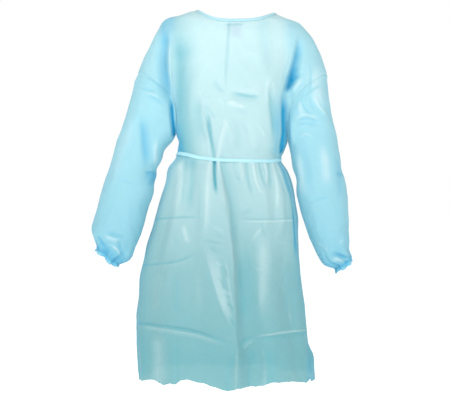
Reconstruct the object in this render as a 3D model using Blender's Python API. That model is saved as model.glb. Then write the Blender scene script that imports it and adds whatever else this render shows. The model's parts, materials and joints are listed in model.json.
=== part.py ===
"""Protective gown of thin nonwoven cloth, filled out as worn, with no wearer.

Metres, +Z up. The gown's front faces -Y, its right sleeve is on the -X side and its left sleeve
on the +X side. The origin is in the middle of the neck opening, level with the shoulder tops.

Every cloth piece is a wall about a middle surface. Above the underarms that surface is a depth
from the plane y = 0, and below them it is a stack of rounded sections, one for each height.
"""

import math
from collections import namedtuple

import bmesh
import bpy
import numpy as np

# Driving sizes.
CLOTH = 0.0015
SEAM_GAP = 0.0005
STEEPEST_LEAN = 0.85
TAPE = 0.0009
TAPE_GAP = 0.0006
RIGHT, LEFT = -1, 1
FRONT, BACK = -1, 1

# The neck opening, the armhole's top end and the chest row at the underarms.
NECK_CORNER_HEIGHTS = {RIGHT: 0.0, LEFT: -0.009}
NECK_DROP_FRONT = 0.041
NECK_DROP_BACK = 0.036
NECK_SQUARENESS = 3.0
ARMHOLE_TOP = -0.197
ARMHOLE_LEAVES = (0.075, -0.045)
ARMHOLE_ARRIVES = (0.020, 0.140)
CHEST = -0.393
CHEST_TILT = 0.011

# The waist, where the belt holds the cloth in.
WAIST = -0.452
WAIST_TILT = 0.007
BELT_WIDTH = 0.014
BELT_DIP_FRONT = 0.008
BELT_REACH = 0.10

# Cloth that crosses over at the back opening.
OVERLAP_STEP = 0.0033
OVERLAP_FADE = 0.055

# How finely the walls are divided.
NECK_STEPS = 8
SHOULDER_STEPS = 9
YOKE_ROWS = 14
SLEEVE_ROWS = 15

# The worn body at each height: its sides in x, its depths in front and behind, and how square
# its corners are. The sides are the gown's outline below the underarms.
Body = namedtuple("Body", "height right left front back square")
BODY = [
    Body(0.000, -0.195, 0.185, 0.045, 0.045, 2.3),
    Body(-0.040, -0.195, 0.183, 0.086, 0.080, 2.3),
    Body(-0.080, -0.194, 0.181, 0.104, 0.100, 2.3),
    Body(-0.150, -0.192, 0.178, 0.116, 0.112, 2.3),
    Body(-0.250, -0.189, 0.174, 0.122, 0.116, 2.3),
    Body(-0.330, -0.185, 0.172, 0.121, 0.113, 2.3),
    Body(-0.393, -0.180, 0.170, 0.117, 0.109, 2.3),
    Body(-0.418, -0.171, 0.163, 0.112, 0.105, 2.3),
    Body(-0.441, -0.174, 0.153, 0.106, 0.101, 2.2),
    Body(-0.463, -0.181, 0.151, 0.106, 0.101, 2.2),
    Body(-0.495, -0.202, 0.166, 0.116, 0.118, 2.2),
    Body(-0.555, -0.215, 0.184, 0.128, 0.134, 2.2),
    Body(-0.650, -0.241, 0.197, 0.139, 0.150, 2.2),
    Body(-0.740, -0.268, 0.200, 0.148, 0.160, 2.2),
    Body(-0.830, -0.286, 0.206, 0.156, 0.167, 2.2),
    Body(-0.960, -0.294, 0.223, 0.163, 0.173, 2.2),
    Body(-1.080, -0.293, 0.234, 0.168, 0.176, 2.2),
    Body(-1.200, -0.288, 0.241, 0.170, 0.178, 2.2),
]

# The outline of the shoulders and upper arms, from the neck's corners down.
Outline = namedtuple("Outline", "height right left")
OUTLINE = [
    Outline(0.000, -0.112, 0.104),
    Outline(-0.009, -0.143, 0.124),
    Outline(-0.018, -0.174, 0.146),
    Outline(-0.028, -0.208, 0.170),
    Outline(-0.040, -0.223, 0.200),
    Outline(-0.053, -0.231, 0.214),
    Outline(-0.090, -0.252, 0.243),
    Outline(-0.121, -0.265, 0.259),
    Outline(-0.152, -0.279, 0.272),
    Outline(-0.197, -0.298, 0.289),
    Outline(-0.245, -0.313, 0.294),
    Outline(-0.307, -0.332, 0.301),
    Outline(-0.410, -0.360, 0.318),
]
MERGED_ABOVE = -0.060
PARTED_BELOW = -0.190
ARM_LAP = 0.045
ARM_LAP_REACH = 0.30
ARM_DEPTH = 0.95
UNION_POWER = 4.0

# The side seams, as angles from the front's middle, and the back edges' reach past the middle.
Seam = namedtuple("Seam", "height right left overlap")
SEAMS = [
    Seam(0.000, 90.0, 90.0, -0.007),
    Seam(-0.060, 90.0, 90.0, -0.006),
    Seam(-0.393, 90.0, 90.0, 0.022),
    Seam(-0.450, 86.0, 76.0, 0.028),
    Seam(-0.650, 84.0, 68.0, 0.038),
    Seam(-0.800, 86.0, 78.0, 0.042),
    Seam(-1.200, 88.0, 84.0, 0.050),
]

# Long folds below and just above the belt. Angles are measured from the front's middle towards
# the gown's left, rise is outward, and near and far are the widths of a fold's two flanks.
Fold = namedtuple("Fold", "top foot at_top at_middle at_foot rise near far")
FOLDS = [
    Fold(-0.470, -1.400, -13.0, 5.0, 7.0, 0.020, 0.050, 0.012),
    Fold(-0.470, -1.400, -3.0, 14.0, 17.0, -0.014, 0.018, 0.034),
    Fold(-0.470, -1.020, -24.0, -8.0, 2.0, 0.007, 0.020, 0.016),
    Fold(-0.470, -0.760, -44.0, -42.0, -40.0, 0.009, 0.022, 0.022),
    Fold(-0.480, -1.400, -62.0, -55.0, -50.0, -0.009, 0.040, 0.030),
    Fold(-0.600, -1.400, -36.0, -34.0, -30.0, 0.008, 0.050, 0.040),
    Fold(-0.470, -0.700, 29.0, 30.0, 31.0, 0.008, 0.014, 0.016),
    Fold(-0.470, -0.720, 49.0, 44.0, 42.0, 0.008, 0.016, 0.016),
    Fold(-0.620, -1.400, 24.0, 26.0, 34.0, 0.010, 0.040, 0.050),
    Fold(-0.700, -1.400, 50.0, 50.0, 56.0, -0.008, 0.035, 0.040),
    Fold(-1.010, -1.400, 92.0, 93.0, 94.0, 0.018, 0.028, 0.040),
    Fold(-0.470, -1.400, 112.0, 116.0, 118.0, 0.016, 0.030, 0.026),
    Fold(-0.480, -1.400, 128.0, 133.0, 136.0, -0.012, 0.028, 0.028),
    Fold(-0.470, -1.400, 143.0, 148.0, 152.0, 0.017, 0.028, 0.034),
    Fold(-0.500, -1.400, 165.0, 168.0, 170.0, -0.009, 0.034, 0.034),
    Fold(-0.480, -1.400, -160.0, -164.0, -166.0, 0.010, 0.034, 0.030),
    Fold(-0.480, -1.400, -145.0, -147.0, -150.0, -0.012, 0.028, 0.026),
    Fold(-0.470, -1.400, -128.0, -131.0, -133.0, 0.018, 0.032, 0.028),
    Fold(-0.480, -1.400, -112.0, -114.0, -116.0, -0.012, 0.030, 0.030),
    Fold(-0.500, -1.400, -98.0, -98.0, -98.0, 0.010, 0.030, 0.034),
]
FOLD_GROWTH = 0.085

# The hem's height round the gown, by the same angles.
Hem = namedtuple("Hem", "angle height")
HEM = [
    Hem(-180.0, -1.132),
    Hem(-140.0, -1.124),
    Hem(-105.0, -1.138),
    Hem(-85.0, -1.145),
    Hem(-58.0, -1.146),
    Hem(-42.0, -1.141),
    Hem(-33.0, -1.120),
    Hem(-15.0, -1.127),
    Hem(0.0, -1.141),
    Hem(20.0, -1.131),
    Hem(45.0, -1.126),
    Hem(72.0, -1.140),
    Hem(88.0, -1.144),
    Hem(98.0, -1.120),
    Hem(125.0, -1.136),
    Hem(155.0, -1.124),
    Hem(180.0, -1.132),
]
BELT_ABOVE = WAIST + 0.011
BELT_BELOW = WAIST - 0.011
ROWS_BELOW = [CHEST, -0.418, BELT_ABOVE, BELT_BELOW, -0.490, -0.530, -0.590, -0.660, -0.740, -0.830]
ROWS_BELOW += [-0.920, -1.010, -1.080]

# The sleeves: at each station the outer and inner outline points in x and z, the middle's y and
# half the depth. The first station lies on the armhole's ends.
Station = namedtuple("Station", "share outer_x outer_z inner_x inner_z middle_y depth")
RIGHT_SLEEVE = [
    Station(0.00, -0.298, -0.197, -0.180, -0.382, 0.000, 0.060),
    Station(0.10, -0.320, -0.270, -0.196, -0.408, 0.000, 0.069),
    Station(0.22, -0.342, -0.345, -0.214, -0.436, 0.000, 0.072),
    Station(0.34, -0.363, -0.413, -0.232, -0.470, -0.003, 0.073),
    Station(0.47, -0.386, -0.487, -0.247, -0.525, -0.008, 0.073),
    Station(0.60, -0.409, -0.558, -0.260, -0.590, -0.014, 0.073),
    Station(0.72, -0.427, -0.625, -0.272, -0.650, -0.020, 0.074),
    Station(0.83, -0.435, -0.678, -0.291, -0.705, -0.026, 0.071),
    Station(0.91, -0.429, -0.704, -0.316, -0.748, -0.031, 0.060),
    Station(1.00, -0.417, -0.724, -0.355, -0.776, -0.034, 0.040),
]
LEFT_SLEEVE = [
    Station(0.00, 0.289, -0.197, 0.170, -0.404, 0.000, 0.060),
    Station(0.10, 0.297, -0.268, 0.175, -0.429, 0.000, 0.069),
    Station(0.22, 0.306, -0.338, 0.179, -0.456, 0.000, 0.072),
    Station(0.34, 0.318, -0.405, 0.183, -0.488, -0.003, 0.073),
    Station(0.47, 0.334, -0.480, 0.189, -0.532, -0.008, 0.073),
    Station(0.60, 0.348, -0.552, 0.197, -0.585, -0.014, 0.073),
    Station(0.72, 0.354, -0.622, 0.212, -0.645, -0.020, 0.072),
    Station(0.83, 0.354, -0.683, 0.235, -0.706, -0.026, 0.067),
    Station(0.91, 0.356, -0.722, 0.260, -0.754, -0.031, 0.056),
    Station(1.00, 0.360, -0.757, 0.309, -0.789, -0.034, 0.036),
]
SLEEVE_SQUARENESS = 2.1
ARMHOLE_FADE = 0.34
GATHER_START = 0.80
GATHER_DEPTH = 0.0045
CUFF_GAP = 0.0009
CUFF_LENGTH = 0.018
CUFF_FLARE = 1.00

# Folds across the sleeves: share along the sleeve, angle round it from its outer edge through
# the front, rise, half length along the sleeve and half width round it in degrees.
CrossFold = namedtuple("CrossFold", "share angle rise along around")
RIGHT_SLEEVE_FOLDS = [
    CrossFold(0.07, 96.0, 0.008, 0.035, 50.0),
    CrossFold(0.30, 150.0, 0.008, 0.060, 45.0),
    CrossFold(0.43, 165.0, -0.011, 0.035, 42.0),
    CrossFold(0.53, 150.0, 0.007, 0.040, 50.0),
    CrossFold(0.45, 260.0, -0.007, 0.040, 55.0),
    CrossFold(0.66, 40.0, 0.005, 0.060, 50.0),
    CrossFold(0.84, 70.0, 0.007, 0.040, 60.0),
    CrossFold(0.92, 80.0, -0.006, 0.030, 50.0),
]
LEFT_SLEEVE_FOLDS = [
    CrossFold(0.06, 90.0, 0.008, 0.035, 50.0),
    CrossFold(0.16, 100.0, -0.006, 0.030, 45.0),
    CrossFold(0.44, 200.0, -0.008, 0.040, 50.0),
    CrossFold(0.36, 20.0, 0.006, 0.050, 40.0),
    CrossFold(0.48, 12.0, -0.006, 0.030, 40.0),
    CrossFold(0.70, 60.0, 0.005, 0.060, 45.0),
    CrossFold(0.88, 95.0, -0.006, 0.030, 55.0),
]

# Neck binding, label, ties and knots.
BINDING_WIDTH = 0.009
BINDING_GAP = 0.0009
CORNER_SHARES = (0.08, 0.95)
LABEL_WIDTH = 0.044
LABEL_HEIGHT = 0.040
LABEL_MIDDLE_X = 0.0
LABEL_BELOW_BINDING = 0.004
TIE_WIDTH = 0.013
WAIST_KNOT = (0.016, 0.0085, 0.011)
NECK_KNOT = (0.011, 0.006, 0.0075)
WAIST_KNOT_GAP = 0.0001
NECK_KNOT_GAP = 0.0008
Tie = namedtuple("Tie", "name start_x end_x length lift swing width")
WAIST_TIES = [
    Tie("waist_tie_right", -0.008, -0.036, 0.270, 0.012, 0.010, TIE_WIDTH),
    Tie("waist_tie_left", 0.009, 0.044, 0.235, 0.013, -0.012, TIE_WIDTH),
]
NECK_TIES = [
    Tie("neck_tie_right", -0.007, -0.026, 0.165, 0.010, 0.006, 0.009),
    Tie("neck_tie_left", 0.007, 0.029, 0.150, 0.011, -0.007, 0.009),
]
TIE_STEPS = 16


SEAM_SHARES = np.array([(r / YOKE_ROWS) ** 2 * (5 - 3 * r / YOKE_ROWS) / 2 for r in range(YOKE_ROWS + 1)])


def smooth(share):
    """A soft step from 0 to 1 as share goes from 0 to 1."""
    share = np.clip(share, 0.0, 1.0)
    return share * share * (3 - 2 * share)


def follow(knots, values, at):
    """The values at new places, on a smooth line through the knots that never overshoots them."""
    knots = np.asarray(knots, float)
    values = np.asarray(values, float)
    if knots[0] > knots[-1]:
        knots, values = knots[::-1], values[::-1]
    at = np.asarray(at, float)
    steps = np.diff(knots)
    slopes = np.diff(values) / steps
    before, after = slopes[:-1], slopes[1:]
    turning = before * after <= 0
    total = np.where(turning, 1.0, before + after)
    inner = np.where(turning, 0.0, 2 * before * after / total)
    tangents = np.concatenate([slopes[:1], inner, slopes[-1:]])
    i = np.clip(np.searchsorted(knots, at) - 1, 0, len(steps) - 1)
    t = np.clip((at - knots[i]) / steps[i], 0.0, 1.0)
    ends = values[i] * (1 + 2 * t) * (1 - t) ** 2 + values[i + 1] * t * t * (3 - 2 * t)
    return ends + steps[i] * t * (1 - t) * (tangents[i] * (1 - t) - tangents[i + 1] * t)


def read(table, column, at, knot="height"):
    """One column of a table, followed smoothly along its knots."""
    knots = [getattr(row, knot) for row in table]
    return follow(knots, [getattr(row, column) for row in table], at)


def side_name(side):
    return "right" if side == RIGHT else "left"


def unit(vectors):
    lengths = np.linalg.norm(vectors, axis=-1, keepdims=True)
    return vectors / np.maximum(lengths, 1e-12)


def fold_rise(angle, height):
    """How far the long folds push the body's surface out, at an angle in degrees and a height."""
    around = (read(BODY, "left", height) - read(BODY, "right", height)) / 2
    around = (around + (read(BODY, "front", height) + read(BODY, "back", height)) / 2) / 2
    hem = HEM[0].height
    total = np.zeros(np.broadcast(angle, height).shape)
    for fold in FOLDS:
        middle = (WAIST + hem) / 2
        at = follow([WAIST, middle, hem], [fold.at_top, fold.at_middle, fold.at_foot], height)
        away = np.radians((angle - at + 180) % 360 - 180) * around
        flank = np.where(away < 0, fold.near, fold.far)
        grown = smooth((fold.top - height) / FOLD_GROWTH)
        faded = smooth((height - fold.foot) / FOLD_GROWTH)
        total = total + fold.rise * grown * faded * np.exp(-((away / flank) ** 2))
    return total


def overlap_rise(x, z, side):
    """The step between the two back panels where they cross over: the right one is outside."""
    middle = (read(BODY, "left", z) + read(BODY, "right", z)) / 2 * smooth((CHEST + 0.1 - z) / 0.1)
    outward = 1 if side == RIGHT else -1
    away = np.abs(x - middle)
    return outward * OVERLAP_STEP * (1 - smooth((away - OVERLAP_FADE) / OVERLAP_FADE))


def row_height(angle, height):
    """A row's real height: rows tilt towards the left side and dip in front at the belt."""
    sine, cosine = np.sin(np.radians(angle)), np.cos(np.radians(angle))
    tilt = follow([-0.75, WAIST, CHEST], [0.0, WAIST_TILT, CHEST_TILT], height)
    dip = np.exp(-(((height - WAIST) / BELT_REACH) ** 2))
    dip = dip * smooth((CHEST - height) / (CHEST - WAIST))
    return height - tilt * sine - BELT_DIP_FRONT * cosine * dip


def body_point(angle, height, out=0.0):
    """A point of the body's middle surface at or below the chest row, moved out by a distance."""
    z = row_height(angle, height)
    right, left = read(BODY, "right", height), read(BODY, "left", height)
    front, back = read(BODY, "front", height), read(BODY, "back", height)
    power = 2 / read(BODY, "square", height)
    sine, cosine = np.sin(np.radians(angle)), np.cos(np.radians(angle))
    half, depth = (left - right) / 2, np.where(cosine > 0, front, back)
    x = (left + right) / 2 + half * np.sign(sine) * np.abs(sine) ** power
    y = -depth * np.sign(cosine) * np.abs(cosine) ** power
    nx, ny = sine / half, -cosine / depth
    length = np.hypot(nx, ny)
    rise = fold_rise(angle, z) + out
    x, y = x + rise * nx / length, y + rise * ny / length
    return np.stack(np.broadcast_arrays(x, y, z), axis=-1)


def yoke_depth(x, z, facing):
    """Distance of the cloth from y = 0 above the underarms: one form at the shoulders, which
    parts into the body and the two upper arms further down."""
    column = "front" if facing == FRONT else "back"
    depth, square = read(BODY, column, z), read(BODY, "square", z)
    outer = np.where(x < 0, -read(OUTLINE, "right", z), read(OUTLINE, "left", z))
    side = np.where(x < 0, -read(BODY, "right", z), read(BODY, "left", z))
    across = np.abs(x)

    def bulge(share, size, power):
        return size * (1 - np.clip(share, 0.0, 1.0) ** power) ** (1 / power)

    merged = bulge(across / outer, depth, square)
    rise = np.clip((z - CHEST + CHEST_TILT * np.sign(x)) / ARM_LAP_REACH, 0.0, 1.0)
    lap = ARM_LAP * rise * (2 - rise)
    half_arm = np.maximum(outer - side + lap, 0.01) / 2
    arm = bulge(np.abs(across - (outer - half_arm)) / half_arm, ARM_DEPTH * half_arm, 2.0)
    middle = (read(BODY, "left", z) + read(BODY, "right", z)) / 2
    torso_half = (read(BODY, "left", z) - read(BODY, "right", z)) / 2
    centre_share = smooth((CHEST + 0.10 - z) / 0.10)
    torso_share = (1 - centre_share) * across / side
    torso_share = torso_share + centre_share * np.abs(x - middle) / torso_half
    torso = bulge(torso_share, depth, square)
    parted = (torso**UNION_POWER + arm**UNION_POWER) ** (1 / UNION_POWER)
    apart = smooth((MERGED_ABOVE - z) / (MERGED_ABOVE - PARTED_BELOW))
    return merged * (1 - apart) + parted * apart


def neckline(x, facing):
    """The neckline's height over x."""
    right, left = (float(read(OUTLINE, side_name(s), NECK_CORNER_HEIGHTS[s])) for s in (RIGHT, LEFT))
    corner = np.where(x < 0, NECK_CORNER_HEIGHTS[RIGHT], NECK_CORNER_HEIGHTS[LEFT])
    out = np.clip(np.where(x < 0, x / right, x / left), 0, 1) ** NECK_SQUARENESS
    drop = NECK_DROP_FRONT if facing == FRONT else NECK_DROP_BACK
    return corner * out - drop * (1 - out)


def shoulder_line(side, steps=SHOULDER_STEPS):
    """Points along the shoulder seam, evenly spaced from the neck's corner to the armhole."""
    heights = np.linspace(NECK_CORNER_HEIGHTS[side], ARMHOLE_TOP, 400)
    across = read(OUTLINE, side_name(side), heights)
    lengths = np.concatenate([[0], np.cumsum(np.hypot(np.diff(heights), np.diff(across)))])
    at = np.linspace(0, lengths[-1], steps + 1)
    return np.stack([np.interp(at, lengths, across), np.interp(at, lengths, heights)], axis=-1)


def underarm(side):
    """The point where the front, the back and the sleeve meet."""
    return body_point(side * 90.0, CHEST)


def armhole_arc(side, shares):
    """The armhole seam in the front view, from its top end (share 0) to the underarm (1)."""
    top = shoulder_line(side)[-1]
    foot = underarm(side)[[0, 2]]
    inward = -side
    leave = top + np.array(ARMHOLE_LEAVES) * (inward, 1)
    arrive = foot + np.array(ARMHOLE_ARRIVES) * (inward, 1)
    q = np.asarray(shares, float)[:, None]
    curve = top * (1 - q) ** 3 + 3 * leave * (1 - q) ** 2 * q
    return curve + 3 * arrive * (1 - q) * q * q + foot * q**3


def armhole_loop(side, facing, shares):
    """The armhole seam in space, on the front or the back."""
    arc = armhole_arc(side, shares)
    y = facing * yoke_depth(arc[:, 0], arc[:, 1], facing)
    y[[0, -1]] = 0.0
    return np.stack([arc[:, 0], y, arc[:, 1]], axis=-1)


def back_edge_x(side, height):
    """Where a back panel's free edge lies: past the middle by the overlap."""
    return -side * read(SEAMS, "overlap", height)


def top_edge(side, facing, neck_steps, shoulder_steps):
    """Points in the front view along a half panel's top: the neckline, then the shoulder."""
    shoulder = shoulder_line(side, shoulder_steps)
    corner = shoulder[0, 0]
    start = 0.0 if facing == FRONT else back_edge_x(side, 0.0)
    turn = np.linspace(math.asin(start / corner), math.pi / 2, neck_steps + 1)[:-1]
    neck = np.stack([corner * np.sin(turn), neckline(corner * np.sin(turn), facing)], axis=-1)
    return np.concatenate([neck, shoulder])


def lay_on_yoke(side, facing, flat):
    """The points of the front view put at the cloth's own depth."""
    x, z = flat[:, 0], flat[:, 1]
    y = yoke_depth(x, z, facing)
    if facing == BACK:
        y = y + overlap_rise(x, z, side)
    return np.stack([x, facing * y, z], axis=-1)


def length_shares(points):
    """Each point's share of the length along a line of points."""
    steps = np.linalg.norm(np.diff(points, axis=0), axis=-1)
    lengths = np.concatenate([[0.0], np.cumsum(steps)])
    return lengths / lengths[-1]


def pick_at(shares, points, wanted):
    return np.stack([np.interp(wanted, shares, points[:, k]) for k in range(points.shape[1])], -1)


def half_panel(side, facing):
    """The middle surface of half a front, or of a back panel, as rows of points from the top
    edge down. The first column is at the middle and the last at the armhole and side seam."""
    top = lay_on_yoke(side, facing, top_edge(side, facing, NECK_STEPS, SHOULDER_STEPS))
    top[NECK_STEPS:, 1] = 0.0
    share = np.linspace(0, 1, len(top))
    chest = panel_row(side, facing, share, CHEST)
    fine = np.linspace(0, 1, 500)
    fine_top = top_edge(side, facing, 250, 250)
    laid = lay_on_yoke(side, facing, fine_top)
    laid[250:, 1] = 0.0
    fine_top = pick_at(length_shares(laid), fine_top, fine)
    fine_chest = panel_row(side, facing, fine, CHEST)
    fine_chest = pick_at(length_shares(fine_chest), fine_chest[:, [0, 2]], fine)
    rows = [top]
    for q in SEAM_SHARES[1:-1]:
        flat = (1 - q) * fine_top + q * fine_chest
        flat += (fine**1.5)[:, None] * (armhole_arc(side, [q])[0] - flat[-1])
        if facing == BACK:
            shift = back_edge_x(side, flat[:, 1]) - flat[0, 0]
            flat[:, 0] += shift * (1 - smooth(fine / 0.5)) * (1 - q)
        laid = lay_on_yoke(side, facing, flat)
        wanted = (1 - q) * length_shares(top) + q * length_shares(chest)
        rows.append(lay_on_yoke(side, facing, pick_at(length_shares(laid), flat, wanted)))
    rows.append(chest)
    for height in ROWS_BELOW[1:]:
        rows.append(panel_row(side, facing, share, height))
    rows.append(panel_row(side, facing, share, None))
    return np.array(rows)


def panel_row(side, facing, share, height):
    """One row of a panel below the chest, from its middle or free edge to the side seam. The
    hem row is asked for with no height."""
    level = np.full(len(share), HEM[0].height if height is None else height)
    seam = read(SEAMS, side_name(side), level)
    if facing == FRONT:
        angle = side * seam * share
    else:
        radius = read(BODY, "left", level) - read(BODY, "right", level)
        past = np.degrees(read(SEAMS, "overlap", level) / (radius / 2))
        angle = side * (seam + (180 + past - seam) * (1 - share))
    if height is None:
        wrapped = (angle + 180) % 360 - 180
        level = read(HEM, "height", wrapped, knot="angle")
    points = body_point(angle, level)
    if facing == BACK:
        points[:, 1] += overlap_rise(points[:, 0], points[:, 2], side)
    return points


def grid_normals(points, wraps=False):
    """Normals of a grid of points, from the differences of its neighbours."""
    if wraps:
        across = np.roll(points, -1, axis=1) - np.roll(points, 1, axis=1)
    else:
        across = np.gradient(points, axis=1)
    down = np.gradient(points, axis=0)
    return unit(np.cross(down, across))


def build_wall(name, points, normals, thickness, material, wraps=False):
    """A closed solid about a grid of points: an outer and an inner skin, and rims between. Both
    skins are split along the same, shorter diagonals, and rims from their higher outer corner,
    so that pieces that share a seam are split alike."""
    rows, columns = points.shape[:2]
    outer = (points + normals * thickness / 2).reshape(-1, 3)
    inner = (points - normals * thickness / 2).reshape(-1, 3)
    middle = points.reshape(-1, 3)
    count = rows * columns
    last = columns if wraps else columns - 1
    faces = []
    for r in range(rows - 1):
        for c in range(last):
            a, b = r * columns + c, r * columns + (c + 1) % columns
            d, e = a + columns, b + columns
            if np.linalg.norm(middle[a] - middle[e]) < np.linalg.norm(middle[b] - middle[d]):
                split = [(a, d, e), (a, e, b)]
            else:
                split = [(a, d, b), (b, d, e)]
            faces += split
            faces += [(i + count, k + count, j + count) for i, j, k in split]
    rims = [[c for c in range(columns)]]
    rims.append([(rows - 1) * columns + c for c in range(columns)])
    if wraps:
        rims = [rim + rim[:1] for rim in rims]
    else:
        rims.append([r * columns for r in range(rows)])
        rims.append([r * columns + columns - 1 for r in range(rows)])
    for rim in rims:
        for a, b in zip(rim[:-1], rim[1:]):
            upper, lower = (a, b) if middle[a, 2] >= middle[b, 2] else (b, a)
            faces.append((upper, lower, lower + count))
            faces.append((upper, lower + count, upper + count))
    return add_mesh(name, np.vstack([outer, inner]), faces, material)


def add_mesh(name, points, faces, material):
    mesh = bpy.data.meshes.new(name)
    mesh.from_pydata([tuple(p) for p in points], [], faces)
    work = bmesh.new()
    work.from_mesh(mesh)
    bmesh.ops.recalc_face_normals(work, faces=work.faces)
    work.to_mesh(mesh)
    work.free()
    mesh.materials.append(material)
    mesh.shade_smooth()
    piece = bpy.data.objects.new(name, mesh)
    bpy.context.scene.collection.objects.link(piece)
    return piece


def armhole_seam(side):
    """For the front and the back, the panel's normals along the armhole, its shifts away from
    the seam, and the sleeve's normals and shifts. Each side leans towards its own surface where
    the two meet in a valley, and is drawn back by as much, so that they stay a gap apart."""
    rings = sleeve_rings(side)
    around = grid_normals(rings, wraps=True)[0] * -side
    found = {}
    tops = []
    for facing in (FRONT, BACK):
        pick = np.arange(YOKE_ROWS + 1) * (1 if facing == FRONT else -1)
        arc, ring = rings[0][pick], rings[1][pick]
        panel = half_panel(side, facing)
        flat = grid_normals(panel)[: YOKE_ROWS + 1, -1] * (-side * facing)
        bisector = unit(flat + around[pick])
        bisector[0] *= (1.0, 0.0, 1.0)
        bisector[-1] = (0.0, 0.0, -1.0)
        tangent = unit(np.gradient(arc, axis=0))
        tangent[0] = tangent[-1] = (0.0, 1.0, 0.0)
        bisector = unit(bisector - (bisector * tangent).sum(-1, keepdims=True) * tangent)
        across = np.cross(bisector, tangent)
        toward = ((ring - arc) * across).sum(-1, keepdims=True)
        toward[-1] = side * across[-1, 0]
        across *= np.sign(toward)
        sides = []
        for own, sign in ((flat, 1.0), (around[pick], -1.0)):
            lean = np.clip((own * across).sum(-1, keepdims=True) * sign, 0.0, STEEPEST_LEAN)
            lean[0], lean[-1] = 0.0, STEEPEST_LEAN
            normal = bisector * np.sqrt(1 - lean**2) + sign * across * lean
            sides += [normal, -sign * across * (SEAM_GAP + lean * CLOTH) / 2]
        found[facing] = sides
        tops.append(bisector[0])
    for facing in (FRONT, BACK):
        found[facing][0][0] = found[facing][2][0] = unit(tops[0] + tops[1])
    return found


def settle_borders(points, normals, side, facing):
    """Draws a half panel's edges back from its seams and gives them the seams' own normals."""
    points, normals = points.copy(), normals.copy()
    half = SEAM_GAP / 2
    seam_normals, shifts = armhole_seam(side)[facing][:2]
    shoulder = points[0, NECK_STEPS:]
    along = np.gradient(shoulder, axis=0)
    normals[0, NECK_STEPS:] = unit(np.stack([-along[:, 2], 0 * along[:, 1], along[:, 0]], axis=-1))
    normals[0, NECK_STEPS:] *= side
    points[0, NECK_STEPS:, 1] += facing * half
    normals[YOKE_ROWS:, -1] = side_seam_normals(side)
    normals[: YOKE_ROWS + 1, -1] = seam_normals
    points[: YOKE_ROWS + 1, -1] += shifts
    seam = points[YOKE_ROWS:, -1]
    outward = normals[YOKE_ROWS:, -1].copy()
    outward[0] = (side, 0.0, 0.0)
    away = unit(np.cross(outward, np.gradient(seam, axis=0)))
    away *= facing * np.sign(away[:, 1:2])
    points[YOKE_ROWS:, -1] += away * half
    return points, normals


def side_seam_normals(side):
    """Normals of the whole body's surface down a side seam, common to front and back."""
    heights = np.array(ROWS_BELOW)
    seam = side * read(SEAMS, side_name(side), heights)
    angles = np.append(seam, side * read(SEAMS, side_name(side), HEM[0].height))
    levels = np.append(heights, read(HEM, "height", angles[-1], knot="angle"))
    step = 3.0
    before, after = body_point(angles - step, levels), body_point(angles + step, levels)
    down = np.gradient(body_point(angles, levels), axis=0)
    return unit(np.cross(down, after - before))


def half_normals(points, side, facing):
    """Outward normals of a half panel."""
    return grid_normals(points) * (-side * facing)


def make_front(material):
    """The front, cut in one piece with the dropped shoulders."""
    halves = {}
    for side in (RIGHT, LEFT):
        points = half_panel(side, FRONT)
        halves[side] = points, half_normals(points, side, FRONT)
    middle = unit(halves[RIGHT][1][:, 0] + halves[LEFT][1][:, 0])
    joined = []
    for side in (RIGHT, LEFT):
        points, normals = halves[side]
        normals[:, 0] = middle
        joined.append(settle_borders(points, normals, side, FRONT))
    points = np.concatenate([joined[0][0][:, :0:-1], joined[1][0]], axis=1)
    normals = np.concatenate([joined[0][1][:, :0:-1], joined[1][1]], axis=1)
    return build_wall("front", points, normals, CLOTH, material)


def make_back(side, material):
    """One of the two backs, with its free edge past the middle."""
    points = half_panel(side, BACK)
    points, normals = settle_borders(points, half_normals(points, side, BACK), side, BACK)
    return build_wall("back_" + side_name(side), points, normals, CLOTH, material)


def sleeve_rings(side):
    """The sleeve's middle surface, in rings from the armhole to the elastic. A ring runs from
    the outer edge through the front, the inner edge and the back."""
    stations = RIGHT_SLEEVE if side == RIGHT else LEFT_SLEEVE
    folds = RIGHT_SLEEVE_FOLDS if side == RIGHT else LEFT_SLEEVE_FOLDS
    count = 2 * YOKE_ROWS
    phase = np.arccos(1 - 2 * SEAM_SHARES)
    phase = np.concatenate([phase[:-1], 2 * math.pi - phase[:0:-1]])
    shares = np.linspace(0, 1, SLEEVE_ROWS + 1)
    length = stations[0].outer_z - stations[-1].outer_z

    def ring(share):
        value = {c: read(stations, c, share, knot="share") for c in Station._fields[1:]}
        outer = np.array([value["outer_x"], 0.0, value["outer_z"]])
        inner = np.array([value["inner_x"], 0.0, value["inner_z"]])
        power = 2 / SLEEVE_SQUARENESS
        cosine = np.sign(np.cos(phase)) * np.abs(np.cos(phase)) ** power
        sine = np.sign(np.sin(phase)) * np.abs(np.sin(phase)) ** power
        middle, arm = (outer + inner) / 2, (outer - inner) / 2
        points = middle + cosine[:, None] * arm
        points[:, 1] += value["middle_y"] - value["depth"] * sine
        out = unit(cosine[:, None] * unit(arm) + sine[:, None] * np.array([0.0, -1.0, 0.0]))
        rise = np.zeros(count)
        for fold in folds:
            gap = (np.degrees(phase) - fold.angle + 180) % 360 - 180
            reach = (share - fold.share) * length / fold.along
            rise += fold.rise * np.exp(-(reach**2)) * np.exp(-((gap / fold.around) ** 2))
        gather = smooth((share - GATHER_START) / (1 - GATHER_START))
        rise += GATHER_DEPTH * gather * np.cos(math.pi * np.arange(count))
        return points + out * (rise * smooth(share / 0.05))[:, None]

    rings = np.array([ring(share) for share in shares])
    front, back = (armhole_loop(side, facing, SEAM_SHARES) for facing in (FRONT, BACK))
    loop = np.concatenate([front[:-1], back[:0:-1]])
    fade = 1 - smooth(shares / ARMHOLE_FADE)
    return rings + fade[:, None, None] * (loop - rings[0])[None]


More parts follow.
